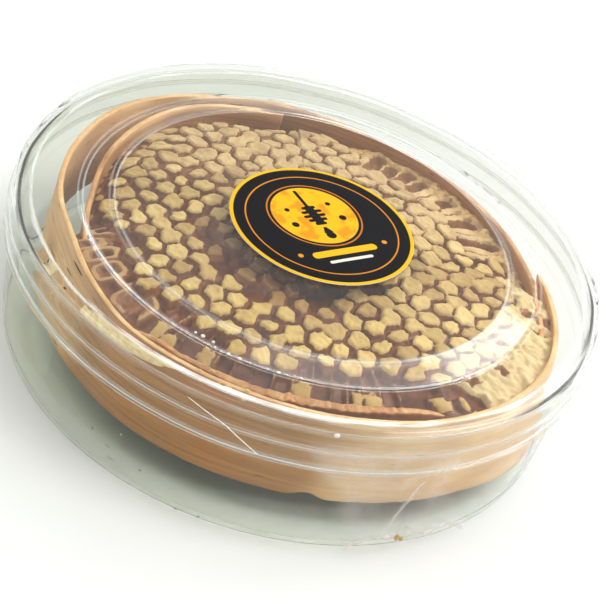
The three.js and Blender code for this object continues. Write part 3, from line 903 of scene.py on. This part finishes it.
def broken_cells(x, y, out, reach, seed):
    """The broken cells along the wood: wax as in capped_cells, how deep their honey lies, how far their
    wax stands up, which cell of the ring each point is in, and the four zones of the ring.

    Along the near side, hairline walls and stray square caps stand in dark honey; at the left a mass of
    wax holds rounded pools; at the right it is folded; and at the far right cells gape at the wood."""
    degrees = np.mod(np.degrees(np.arctan2(y, x)), 360)
    place = degrees / 360 * EDGE_CELLS - 0.32 + 0.1 * sway(x, y, 30, seed + 8)
    which = np.mod(np.floor(place), EDGE_CELLS)
    width = 2 * np.pi * reach * out / EDGE_CELLS
    beside = (place - np.floor(place) - 0.5) * width
    wall_far = width / 2 - np.abs(beside)
    deep = (1 - out) * reach
    draw = [hash_share(which, seed + k) for k in range(20, 26)]
    ragged = 0.2 * sway(x, y, 1.8, seed + 9) + 0.1 * sway(x, y, 0.9, seed + 10)

    thread = np.where(draw[0] < 0.5, -1.0, 0.05 - wall_far + 0.5 * ragged)
    stray_share = 0.26 + 0.3 * sector(degrees, -58, 16, 6)
    off_middle = np.abs(beside - 0.8 * (draw[1] - 0.5)), 0.8 * np.abs(deep - 3.9 - 1.8 * (draw[2] - 0.5))
    square = 1.25 + 0.7 * draw[5] - (off_middle[0] ** 3 + off_middle[1] ** 3) ** (1 / 3)
    near = np.maximum(thread, np.where(draw[3] < stray_share, square + 1.6 * ragged, -1.0))

    pools, nearest = np.full(x.shape, FAR), np.full(x.shape, FAR)
    for direction, radius, half_width, half_length in POOLS:
        along = np.radians(np.mod(degrees - direction + 180, 360) - 180) * radius
        towards = np.hypot(x, y) - radius
        pool = ((along / half_width) ** 4 + (towards / half_length) ** 4) ** 0.25
        nearest = np.minimum(nearest, (pool - 1) * min(half_width, half_length))
        pools = np.minimum(pools, (pool - 1) * 1.5 + 0.4 * ragged)
    crumbled = 0.75 + 1.1 * sway(x, y, 5, seed + 11) + ragged
    lip = 0.25 - np.abs(nearest - 0.3)
    left = np.minimum(np.maximum(np.minimum(crumbled, 0.7 - nearest), lip), pools)
    left = np.minimum(left, 1.5)
    right = np.minimum(np.minimum(1.9 + 0.9 * sway(x, y, 6, seed + 18), pools) + ragged, 1.5)

    end = np.maximum(4.2 + 2.4 * (draw[4] - 0.5) - deep, 0) / (2.3 + 0.8 * (draw[5] - 0.5))
    gape = ((np.abs(beside + 0.35 * np.sin(deep)) / (1.85 - 0.3 * draw[1])) ** 3 + end ** 3) ** (1 / 3)
    far_right = (gape - 1) * 1.6 + 0.35 * ragged + 1.4 * smooth_rise(draw[2], 0.86, 0.9)
    far_left = -0.5 + 0.7 * sway(x, y, 3.4, seed + 12)

    bound = np.mod(degrees + 3.5 * sway(x, y, 7, seed + 21), 360)
    zones = [
        (bound > low) & (bound <= high) if low < high else (bound > low) | (bound <= high)
        for low, high in EDGE_ZONES
    ]
    wax = np.select(zones, [near, left, right, far_right], far_left)
    depth = np.select(zones, [1.3, 1.5, 1.3, 1.6], 0.5) * (0.8 + 0.4 * draw[4])
    folds = 0.5 * sway(np.radians(degrees) * 50, deep * 0.3, 2.2, seed + 13)
    folds = folds + 0.3 * sway(np.radians(degrees) * 50, deep * 0.4, 1.0, seed + 22)
    uneven = 0.84 + 0.12 * sway(x, y, 8, seed + 19)
    fading = 1 - smooth_rise(degrees, 78, 90)
    climb = 3.0 * smooth_rise(out, 0.9, 1.0) * uneven * fading
    lift = np.select(zones, [0.35 + 0 * deep, 0.1 + 0.3 * ragged, 0.7 + folds, 0.3 + 0.3 * folds], 0.4)
    lift = lift + zones[3] * climb  # at the far right the wax climbs the wood
    return wax, depth, lift, which, zones


def dome_share(out):
    """A flat dome that turns down more steeply close to the wood."""
    return 0.52 * out ** 2 + 0.48 * np.clip((out - 0.8) / 0.2, 0, None) ** 2


def comb_layer(side, upper):
    """One layer of cells as a height field over a disc, closed by a wall and a flat back. The height is
    a dome plus caps, each a thin tilted plate with a soft dent, over grooves of honey, and along the
    wood the broken cells."""
    out, turn = disc_grid(side)
    degrees = np.degrees(turn)
    reach, sunk = comb_reach(np.mod(degrees, 360), upper)
    x, y = out * reach * np.cos(turn), out * reach * np.sin(turn)
    seed = 40 if upper else 80

    wax, whole, missing, beside_cap, (cx, cy), draws, regions = capped_cells(x, y, seed, upper)
    far_side, _, dim, _, near = regions
    edge_wax, depth, lift, which, edge_zones = broken_cells(x, y, out, reach, seed)
    edge_wax = np.minimum(edge_wax, beside_cap - 0.35)
    wax = np.where(whole, np.minimum(wax, (1 - out) * reach - 0.2), edge_wax)

    cap = smooth_rise(wax, -0.42, 0.16)
    slant = CAP_SLANT * ((x - cx) * (draws[4] - 0.5) + (y - cy) * (draws[5] - 0.5))
    pillow = 0.1 * smooth_rise(wax, 0.0, 0.7) - 0.16 * smooth_rise(wax, 0.7, 1.6)
    plate = CAP_HEIGHT * (0.72 + 0.34 * draws[3]) * (1 - 0.35 * dim) + slant + pillow
    plate = plate + 0.07 * sway(x, y, 1.3, seed + 14)
    groove = 0.12 * sway(x, y, 3.0, seed + 15) - 0.9 * missing
    inside = cap * plate + (1 - cap) * groove
    sink = smooth_rise(-edge_wax, 0.0, 1.0)
    climbing = smooth_rise(out, 0.93, 0.99)
    edge = cap * lift * np.clip(wax / 0.4, 0.4, 1) * (1 - climbing) + lift * climbing
    edge = edge - sink * depth * (1 - 0.9 * climbing)
    relief = np.where(whole, inside, edge) + 0.1 * sway(x, y, 17, seed + 16)

    if upper:
        drop = COMB_EDGE_DROP - SUNK_DEPTH * sunk
        z = COMB_TOP - CAP_HEIGHT - CAP_GAP - drop * dome_share(out) + relief
        z = np.minimum(z, COMB_TOP)
    else:
        z = COMB_BOTTOM + CAP_HEIGHT + CAP_GAP + COMB_EDGE_RISE * dome_share(out) - relief
        z = np.maximum(z, COMB_BOTTOM)
    points = np.stack([x, y, z], -1).reshape(-1, 3)
    outside = 1.0 - whole
    wet = 0.9 * dim + 0.35 * (draws[0] > 0.93) + 0.12 * sway(x, y, 12, seed + 17)
    marks = {
        "wax": wax,
        "tone": np.where(whole, draws[1], hash_share(which, seed + 23)),
        "wet": np.clip(wet, 0, 1) * whole,
        "amber": outside * (0.9 * edge_zones[1] + 0.3 * edge_zones[0]),
        "yellow": np.clip(near * 0.6 + outside * (edge_zones[0] | edge_zones[2]) * 0.8, 0, 1),
        "far_side": far_side,
        "shallow": outside * (edge_zones[2] * 1.0 + edge_zones[3] * 0.3 + edge_zones[1] * 0.25),
        "wall_wax": outside * edge_zones[3] * smooth_rise(out, 0.86, 0.96),
    }

    columns = side + 1
    faces = grid_faces(columns, columns)
    row = np.arange(columns)
    edges = [row, row[1:] * columns + side, side * columns + row[::-1][1:], row[::-1][1:-1] * columns]
    border = np.concatenate(edges)
    count = len(border)
    wall = points[border].copy()
    wall[:, 2] = COMB_MIDDLE + (0.1 if upper else -0.1)
    low = len(points) + np.arange(count)
    ahead = np.roll(np.arange(count), -1)
    sides = np.stack([border, low, low[ahead], border[ahead]], -1)
    middle = len(points) + count
    back = np.stack([low, np.full(count, middle), low[ahead]], -1)
    points = np.concatenate([points, wall, [[0, 0, wall[0, 2]]]])
    if not upper:
        faces, sides, back = faces[:, ::-1], sides[:, ::-1], back[:, ::-1]
    marks = {name: values.ravel() for name, values in marks.items()}
    marks = {name: np.concatenate([values, values[border], [0.0]]) for name, values in marks.items()}
    return points, [faces, sides, back], marks


def comb_finish():
    """Cream wax on the caps, brown wax down their sides, and dark honey in the grooves."""
    finish = Finish("wax_and_honey")
    place = finish.place()
    ragged = finish.noise(place, 2.0, 3.0, 0.6)
    grain = finish.noise(place, 4.5, 3.0, 0.65)
    cloud = finish.noise(place, 0.32, 3.0, 0.6)
    level = finish.mark("wax") + (ragged - 0.5) * 0.3
    cap = level.rise(-0.08, 0.08)
    rim = cap * (1 - level.rise(0.2, 0.7))
    side = level.rise(-0.7, -0.12)
    tone, wet, amber = finish.mark("tone"), finish.mark("wet"), finish.mark("amber")
    far_side, shallow = finish.mark("far_side"), finish.mark("shallow")
    wall_wax = finish.mark("wall_wax")
    veins = finish.noise(finish.place((1, 1, 0.4)), 0.9, 3.0, 0.65)
    cream = finish.coats(
        finish.blend(tone, colour(174, 142, 78), colour(222, 192, 122)),
        (far_side * 0.7, colour(208, 176, 128)),
        (finish.mark("yellow") * 0.5, colour(214, 178, 88)),
        (cloud.rise(0.45, 0.7) * 0.5, colour(160, 118, 66)),
        (grain.rise(0.4, 0.75) * 0.5, colour(138, 102, 56)),
        (shallow * 0.6, colour(222, 200, 156)),
        (wall_wax * 0.8, colour(184, 146, 84)),
        (wall_wax * veins.rise(0.46, 0.62) * 0.8, colour(132, 86, 42)),
        (rim * 0.15, colour(176, 138, 84)),
        (wet * 0.8, colour(126, 76, 34)),
        (amber * 0.7, colour(160, 112, 70)),
    )
    honey = finish.coats(
        finish.blend(cloud.rise(0.3, 0.7), colour(86, 40, 16), colour(126, 72, 34)),
        (far_side * 0.6, colour(156, 110, 68)),
        (side * 0.4, colour(140, 94, 52)),
        (shallow * 0.6, colour(172, 122, 74)),
    )
    shader = finish.node("BsdfPrincipled", None, {
        "Base Color": finish.blend(cap, honey, cream),
        "Roughness": 0.2 + cap * 0.32 + grain * 0.1 - wet * 0.15,
        "Normal": finish.bump(ragged * 0.5 + grain * 0.5, 0.16, 0.8),
    })
    return finish.surface(shader)


comb_material = comb_finish()
for layer, side, upper in (("comb_upper", 300, True), ("comb_lower", 150, False)):
    points, faces, marks = comb_layer(side, upper)
    cells = make_piece(layer, points, faces, comb_material, marks)
    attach(cells, "root")
    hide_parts("comb")


# ---------------------------------------------------------------------------
# The label: a round paper sticker in the middle of the lid, black with a yellow
# rim, printed with a honey dipper on a yellow sun and two plain bars.
# ---------------------------------------------------------------------------
LABEL_RADIUS = 20
LABEL_THICKNESS = 0.17
LABEL_CENTRE = (1.3, 1.1)
LABEL_TURN = 42  # degrees that the print is turned on the lid
LABEL_RIM = 0.8  # width of the yellow rim
LABEL_HOLE = 0.4  # radius of the innermost ring, which one face closes
LABEL_RINGS = 40
LABEL_SIDES = 160

# The print's colours.
INK_BLACK = colour(18, 18, 21)
INK_YELLOW = colour(248, 186, 26)
INK_AMBER = colour(222, 138, 24)
INK_BROWN = colour(206, 122, 36)
INK_ORANGE = colour(238, 150, 40)
INK_CREAM = colour(238, 232, 214)
PAPER_EDGE = colour(240, 236, 222)


def label():
    """Rings round the centre: the top face from the middle out, then the cut edge and the back. Each
    point's height is the lid's own plus the paper's."""
    top = np.linspace(LABEL_HOLE, LABEL_RADIUS - 0.05, LABEL_RINGS)
    ring = np.concatenate([top, [LABEL_RADIUS, LABEL_RADIUS, LABEL_RADIUS - 0.05, LABEL_HOLE]])
    under = -0.02  # the back is pressed into the lid by its glue
    lift = np.concatenate([0 * top + LABEL_THICKNESS, [LABEL_THICKNESS - 0.04, 0.0, under, under]])
    turn = np.linspace(0, 2 * np.pi, LABEL_SIDES, endpoint=False)
    x = LABEL_CENTRE[0] + ring[:, None] * np.cos(turn)
    y = LABEL_CENTRE[1] + ring[:, None] * np.sin(turn)
    z = PANEL_HEIGHT + 0.6 * plastic_sway(x, y, PANEL_HEIGHT) + lift[:, None]
    z = np.minimum(z, PANEL_HEIGHT + LABEL_THICKNESS + 0.04)
    points = np.stack([x, y, z], -1).reshape(-1, 3)
    faces = [group[:, ::-1] for group in tube_faces(len(ring), LABEL_SIDES)]
    cut = np.broadcast_to((ring >= LABEL_RADIUS)[:, None], z.shape).astype(float).ravel()
    return points, faces, {"cut": cut}


def label_finish():
    """The print is drawn by distances in millimetres, u to the right and v up on the turned label. A
    shape's distance is below 0 inside it, and its ink stops there with an edge of a tenth."""
    finish = Finish("printed_label")
    turned = {"Location": (*LABEL_CENTRE, 0), "Rotation": (0, 0, math.radians(LABEL_TURN))}
    place = finish.node("Mapping", {"vector_type": "TEXTURE"}, {"Vector": finish.place(), **turned})
    u, v = finish.axis(place, "X"), finish.axis(place, "Y")

    def flat(right, up):
        return finish.node("CombineXYZ", None, {0: right, 1: up})

    def ink(distance):
        return 1 - distance.rise(-0.06, 0.06)

    def bar(right, up, half_width, half_height, corner):
        """Distance outside a bar with rounded corners."""
        past_side = (abs(u - right) - (half_width - corner)).most(0)
        past_end = (abs(v - up) - (half_height - corner)).most(0)
        return finish.length(flat(past_side, past_end)) - corner

    radius = finish.length(flat(u, v))
    from_sun = finish.length(flat(u, v - 3.2))
    patches = finish.noise(place, 0.34, 1.0).rise(0.5, 0.68)
    sun = finish.blend(patches * 0.75, INK_YELLOW, INK_AMBER)

    dipper = bar(0, 9.0, 0.42, 3.0, 0.4).least(bar(0, 3.4, 1.1, 3.2, 1.0))
    for height, half_width in ((5.9, 1.7), (4.5, 2.5), (3.1, 2.7), (1.7, 2.3), (0.4, 1.4)):
        dipper = dipper.least(bar(0, height, half_width, 0.46, 0.45))
    drop_ball = finish.length(flat(u, v + 3.7)) - 1.15
    drop_tail = (abs(u) + (v + 1.9) * 0.42 - 0.75).most(-2.9 - v)
    dipper = dipper.least(drop_ball.least(drop_tail).most(v + 0.9))
    for right, up, size in ((6.0, 1.2, 0.85), (5.2, 6.2, 0.6)):
        dipper = dipper.least(finish.length(flat(abs(u) - right, v - up)) - size)
    dots = finish.length(flat(abs(u) - 10.6, v + 8.4)) - 0.6

    print_colour = finish.coats(
        INK_BLACK,
        (ink(abs(radius - 16.6) - 0.16), INK_AMBER),
        (ink(abs(from_sun - 10.4) - 0.17), INK_BROWN),
        (ink(from_sun - 9.6), sun),
        (ink(dipper), INK_BLACK),
        (ink(bar(0, -9.2, 8.0, 0.95, 0.9)), INK_YELLOW),
        (ink(bar(0, -11.9, 5.4, 0.42, 0.4)), INK_CREAM),
        (ink(dots), INK_ORANGE),
        (1 - ink(radius - (LABEL_RADIUS - LABEL_RIM)), INK_YELLOW),
        (finish.mark("cut"), PAPER_EDGE),
    )
    paper = finish.noise(finish.place(), 3.0, 2.0)
    shader = finish.node("BsdfPrincipled", None, {
        "Base Color": print_colour,
        "Roughness": 0.48 + paper * 0.14,
        "Specular IOR Level": 0.1,
        "Normal": finish.bump(paper, 0.02, 0.5),
    })
    return finish.surface(shader)


label_points, label_faces, label_marks = label()
sticker = make_piece("round_label", label_points, label_faces, label_finish(), label_marks)
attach(sticker, "root")
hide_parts("label")


# ---------------------------------------------------------------------------
# The tape: a strip of clear film stuck over the skirt's edge and down the wall,
# wrinkled, a little pink, with its lower edge loose and curled at the foot.
# ---------------------------------------------------------------------------
TAPE_THICKNESS = 0.06
TAPE_ROWS = 70
TAPE_COLUMNS = 90

# Rows down the film: radius that it lies on, height, and its left and right edge in degrees.
TAPE_COURSE = np.array([
    (63.1, 31.6, -82, -53), (63.4, 28.5, -82, -52), (63.55, 26.0, -80.5, -51), (63.6, 23.2, -79, -50),
    (62.4, 21.4, -77.5, -49), (61.7, 18, -75, -47.5), (61.1, 10, -71, -45), (60.75, 4.5, -66, -41),
])
# Rows of direction and height along the loose lower edge.
TAPE_HEM = np.array([
    (-66, 1.0), (-63.2, 3.7), (-60.8, 5.4), (-57.4, 3.6), (-55.6, 5.6), (-53.6, 4.0), (-49, 5.0), (-41, 2.0),
])
CREASE = 0.3  # heights of the two folds off what the film lies on
DIAGONAL = 0.25


def tape():
    """A grid across and down the film. The course gives the radius, height and edges of each row, the
    lowest rows follow the hem, and folds lift the film off what it lies on by up to half a millimetre."""
    down = np.linspace(0, 1, TAPE_ROWS)[:, None]
    across = np.linspace(0, 1, TAPE_COLUMNS)[None, :]
    rows = np.linspace(0, 1, len(TAPE_COURSE))
    radius, height, left, right = (np.interp(down, rows, TAPE_COURSE[:, k]) for k in range(4))
    degrees = left + (right - left) * across
    hem = np.interp(degrees, TAPE_HEM[:, 0], TAPE_HEM[:, 1])
    last = smooth_rise(down, 0.78, 1.0)
    height = height + (hem - TAPE_COURSE[-1, 1]) * last
    length = np.radians(degrees) * radius
    folds = 0.12 * sway(length, height * 0.5, 6, seed=61) + 0.06 * sway(length * 0.6, height, 2.6, seed=62)
    crease = CREASE * np.exp(-((length + 64.8 - 0.22 * height) / 0.35) ** 2) * (height < 20)
    diagonal = DIAGONAL * np.exp(-((length + 59.5 - 1.1 * (height - 24)) / 0.3) ** 2) * (height > 21)
    curl = 1.5 * last ** 2 * (0.5 + 0.5 * np.sin(np.radians(degrees * 34)))
    lift = 0.12 + np.abs(folds) + crease + diagonal + curl
    face = np.minimum(radius + lift, SKIRT_RADIUS + 0.08 - TAPE_THICKNESS)
    turn = np.radians(degrees)
    outer, inner = (polar(layer, turn, height) for layer in (face + TAPE_THICKNESS, face))
    points = np.concatenate([outer, inner[:, ::-1]], axis=1).reshape(-1, 3)
    columns = 2 * TAPE_COLUMNS
    step = np.arange(TAPE_COLUMNS - 1)
    end = np.stack([step, step + 1, columns - 2 - step, columns - 1 - step], -1)
    start = (TAPE_ROWS - 1) * columns
    faces = [grid_faces(TAPE_ROWS, columns, ring=True)[:, ::-1], end, (start + end)[:, ::-1]]
    from_side = np.minimum(length - np.radians(left) * radius, np.radians(right) * radius - length)
    inside = smooth_rise(from_side, 0.0, 5.0) * smooth_rise(down, 0.0, 0.15) * (1 - 0.7 * last)
    hem_line = smooth_rise(down, 0.955, 0.99) * (0.6 + 0.4 * sway(length, height, 5, seed=63))
    # Painted highlights along the creases and the hem, where the film catches light.
    fold_highlight = np.clip(crease / CREASE * 0.7 + diagonal / DIAGONAL * 0.8 + hem_line, 0, 1)

    def both_layers(values):
        return np.concatenate([values, values[:, ::-1]], axis=1).ravel()

    return points, faces, {"inside": both_layers(inside), "fold_highlight": both_layers(fold_highlight)}


def film_finish():
    """Clear film with a faint pink haze and fine scratches, whiter along its folds and hem: painted
    highlights for the light they catch. Its alpha is small inside its edges, and half where it is folded."""
    finish = Finish("clear_tape_film")
    place = finish.place((1, 1, 0.6))
    haze = finish.noise(place, 0.22, 3.0, 0.6).rise(0.35, 0.75)
    scratch = finish.noise(finish.place((1, 1, 5)), 0.5, 2.0).rise(0.62, 0.75)
    dull = (0.04 + haze * 0.14 + scratch * 0.05) * finish.mark("inside")
    shader = finish.node("BsdfPrincipled", None, {
        "Base Color": colour(244, 232, 228),
        "Roughness": 0.2 + haze * 0.2,
        "Alpha": dull + finish.mark("fold_highlight") * 0.5,
    })
    return finish.surface(shader)


tape_points, tape_faces, tape_marks = tape()
tape_film = make_piece("tape_film", tape_points, tape_faces, film_finish(), tape_marks)
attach(tape_film, "root")
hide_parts("tape")


# ---------------------------------------------------------------------------
# Shavings of the hoop: a cream strip peeled half off its outer face, and a torn
# spike that stands off it at the left. Their own fibres hold them at one end.
# ---------------------------------------------------------------------------
SHAVING_STEPS = 72
SHAVING_SIDES = 12
SMOOTHED_STEPS = 9  # over which a course's corners are evened out


def shaving(course, on_hoop=True):
    """A closed oval section carried along a smoothed path. Rows of the course: direction in degrees,
    height, radius (counted from the hoop's outer face with on_hoop), half width and half depth."""
    course, steps, sides = np.array(course, float), SHAVING_STEPS, SHAVING_SIDES
    t = np.linspace(0, 1, steps + SMOOTHED_STEPS - 1)
    rows = [np.interp(t, np.linspace(0, 1, len(course)), column) for column in course.T]
    even = np.ones(SMOOTHED_STEPS) / SMOOTHED_STEPS
    degrees, height, radius, wide, deep = (np.convolve(row, even, mode="valid") for row in rows)
    radius = radius + on_hoop * strip_radius(np.mod(HOOP_TIP - degrees, 360), height)
    turn = np.radians(degrees)
    path = polar(radius, turn, height)
    along = np.gradient(path, axis=0)
    along = along / np.linalg.norm(along, axis=1, keepdims=True)
    outward = polar(1, turn, 0)
    sideways = np.cross(along, outward)
    around = np.linspace(0, 2 * np.pi, sides, endpoint=False)
    across = wide[:, None] * np.sin(around)
    raised = deep[:, None] * np.cos(around)
    points = path[:, None] + across[..., None] * sideways[:, None] + raised[..., None] * outward[:, None]
    return points.reshape(-1, 3), tube_faces(steps, sides)


peeled = shaving([
    (-137.6, 21.8, 0.2, 0.05, 0.05), (-136.9, 22.0, 0.45, 0.8, 0.5), (-135.3, 22.4, 0.4, 0.35, 0.35),
    (-132.5, 23.2, 0.4, 0.75, 0.5), (-128.4, 24.2, 0.45, 0.9, 0.6), (-123.2, 25.0, 0.45, 0.95, 0.6),
    (-118.4, 25.6, 0.4, 0.85, 0.5), (-114.5, 26.0, 0.35, 0.75, 0.5), (-110.6, 26.3, 0.3, 0.5, 0.4),
    (-107.1, 26.8, 0.2, 0.25, 0.2), (-105.0, 27.0, 0.1, 0.04, 0.04),
])
spike = shaving([
    (-156, 15.0, -0.4, 2.1, 0.35), (-161, 17.0, 0.4, 1.9, 0.35), (-164.5, 18.6, 1.7, 1.3, 0.3),
    (-167.6, 20.6, 3.0, 0.7, 0.25), (-170.2, 22.4, 4.3, 0.04, 0.04),
])
# Freshly bared pale wood, painted lighter still to make up for the weak light on the near left.
bare_wood_painted_lighter = Finish("bare_wood_painted_lighter")
bare_fibre = bare_wood_painted_lighter.noise(bare_wood_painted_lighter.place((1, 1, 5)), 0.6, 2.0)
bare_wood_painted_lighter.surface(bare_wood_painted_lighter.node("BsdfPrincipled", None, {
    "Base Color": bare_wood_painted_lighter.blend(bare_fibre.rise(0.35, 0.7), colour(252, 230, 184), colour(232, 198, 142)),
    "Roughness": 0.5,
}))
for name, (points, faces) in (("peeled_shaving", peeled), ("torn_spike", spike)):
    wood_bit = make_piece(name, points, faces, bare_wood_painted_lighter.holder)
    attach(wood_bit, "root")


# ---------------------------------------------------------------------------
# Small things: drops of honey on the wood, droplets that cling in the lid's
# groove, dark crumbs and slits on the wood, and scuffs on the plastic.
# ---------------------------------------------------------------------------
BEAD_RINGS = 7
BEAD_SIDES = 12


def beads(rows):
    """Closed flattened balls. Rows: direction in degrees, distance from the axis, height, and the half
    sizes along the ring, outwards and upwards."""
    rows, rings, sides = np.array(rows, float), BEAD_RINGS, BEAD_SIDES
    dip = np.linspace(0, np.pi, rings + 2)[1:-1, None]
    around = np.linspace(0, 2 * np.pi, sides, endpoint=False)
    wide = np.sin(dip)
    ball = np.stack([wide * np.cos(around), wide * np.sin(around), np.cos(dip) + 0 * around], -1)
    ball = np.concatenate([ball.reshape(-1, 3), [[0, 0, 1], [0, 0, -1]]])
    turn = np.radians(rows[:, 0])
    outward = polar(1, turn, 0)
    beside = np.stack([-np.sin(turn), np.cos(turn), 0 * turn], -1)
    up = np.array([0, 0, 1])
    centre = outward * rows[:, 1:2] + up * rows[:, 2:3]
    points = centre[:, None] + outward[:, None] * (ball[:, 0] * rows[:, 4:5])[..., None]
    points = points + beside[:, None] * (ball[:, 1] * rows[:, 3:4])[..., None]
    points = points + up * (ball[:, 2] * rows[:, 5:6])[..., None]
    first = (np.arange(len(rows)) * len(ball))[:, None, None]
    one = [group[:, ::-1] for group in globe_faces(rings, sides)]
    return points.reshape(-1, 3), [(group + first).reshape(-1, group.shape[1]) for group in one]


def spotted_finish(name, tint, roughness):
    """One tint with soft spots that go a third of the way to a darker one."""
    finish = Finish(name)
    spots = finish.noise(finish.place(), 1.5, 2.0).rise(0.3, 0.7)
    shade = finish.blend(spots * 0.35, colour(*tint), colour(*(0.7 * part for part in tint)))
    shader = finish.node("BsdfPrincipled", None, {"Base Color": shade, "Roughness": roughness})
    return finish.surface(shader)


# Rows: name, slot (which is not used), tint, roughness, and the rows of its beads.
SMALL_THINGS = [
    ("honey_drops", "comb", (222, 190, 118), 0.08, [
        (-96.8, 53.3, 27.9, 0.85, 0.5, 0.7), (-93.1, 53.2, 26.9, 0.6, 0.4, 0.85),
        (-107.0, 53.2, 27.2, 0.4, 0.3, 0.35), (-104.5, 53.1, 26.7, 0.25, 0.2, 0.25),
        (-102.9, 53.1, 26.4, 0.25, 0.2, 0.22), (-98.8, 52.9, 28.0, 0.3, 0.25, 0.25),
        (-103.7, 52.2, 28.2, 0.4, 0.3, 0.25), (-101.6, 50.2, 27.8, 0.5, 0.35, 0.25),
        (-93.0, 52.3, 28.3, 0.5, 0.35, 0.25),
    ]),
    ("groove_droplets", "clear_plastic", (236, 236, 226), 0.05, [
        (-108.7, 48.2, 32.7, 0.3, 0.3, 0.2), (-106.8, 48.1, 32.75, 0.46, 0.46, 0.25),
        (-104.0, 48.2, 32.7, 0.36, 0.36, 0.2), (-102.9, 49.4, 32.7, 0.28, 0.28, 0.2),
        (-99.5, 49.6, 32.75, 0.42, 0.4, 0.25), (-96.9, 49.6, 32.75, 0.46, 0.42, 0.25),
        (-95.3, 49.6, 32.7, 0.2, 0.2, 0.15), (-94.4, 49.6, 32.7, 0.24, 0.24, 0.15),
        (-90.4, 49.6, 32.7, 0.33, 0.3, 0.2), (-87.9, 49.6, 32.7, 0.4, 0.36, 0.2),
        (-86.0, 49.5, 32.7, 0.22, 0.2, 0.15), (-82.8, 49.5, 32.7, 0.34, 0.3, 0.2),
        (-75.6, 62.7, 31.6, 0.6, 0.3, 0.5),
    ]),
    ("dark_crumbs", "veneer", (70, 44, 28), 0.6, [
        (-148.1, 52.25, 18.4, 0.75, 0.2, 0.38), (-144.9, 51.75, 26.5, 2.6, 0.14, 0.17),
        (-148.7, 51.9, 22.7, 1.7, 0.14, 0.15), (-145.6, 51.95, 21.6, 0.4, 0.12, 0.12),
        (-163.0, 53.3, 15.0, 0.35, 0.3, 0.95), (-161.6, 53.3, 13.9, 0.5, 0.3, 0.45),
    ]),
    ("wall_scuffs", "clear_plastic", (150, 146, 128), 0.3, [
        (-126.3, 63.1, 29.9, 0.8, 0.15, 0.3), (172.6, 59.4, 3.3, 0.8, 0.2, 0.8),
        (-118.7, 60.95, 8.6, 0.42, 0.2, 0.4), (-114.6, 60.8, 7.0, 0.7, 0.1, 0.12),
        (-113.4, 60.7, 4.6, 0.9, 0.1, 0.12), (-112.3, 61.2, 12.2, 0.3, 0.2, 0.3),
        (-107.0, 60.8, 6.3, 0.3, 0.15, 0.25), (-98.6, 60.5, 1.1, 0.5, 0.15, 0.2),
        (-94.1, 60.5, 1.3, 0.35, 0.15, 0.25),
    ]),
    ("tape_crumb", "veneer", (206, 170, 112), 0.6, [
        (-56.2, 61.2, 3.4, 0.6, 0.3, 0.8), (-55.2, 61.2, 2.9, 0.5, 0.3, 0.5),
    ]),
]
for name, slot, tint, roughness, rows in SMALL_THINGS:
    bits = make_piece(name, *beads(rows), spotted_finish(name, tint, roughness))
    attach(bits, "root")

# A white line where the film's upper corner has lifted off the skirt: a painted highlight for the light that
# the lifted edge catches.
LIFTED_COURSE = [
    (-102.4, 30.8, 63.12, 0.05, 0.05), (-94.1, 28.0, 63.42, 0.14, 0.08), (-87.0, 23.5, 63.58, 0.1, 0.05),
]
lifted_points, lifted_faces = shaving(LIFTED_COURSE, on_hoop=False)
lifted_edge_highlight = spotted_finish("film_edge_highlight", (250, 248, 242), 0.2)
lifted = make_piece("lifted_film_edge", lifted_points, lifted_faces, lifted_edge_highlight)
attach(lifted, "root")
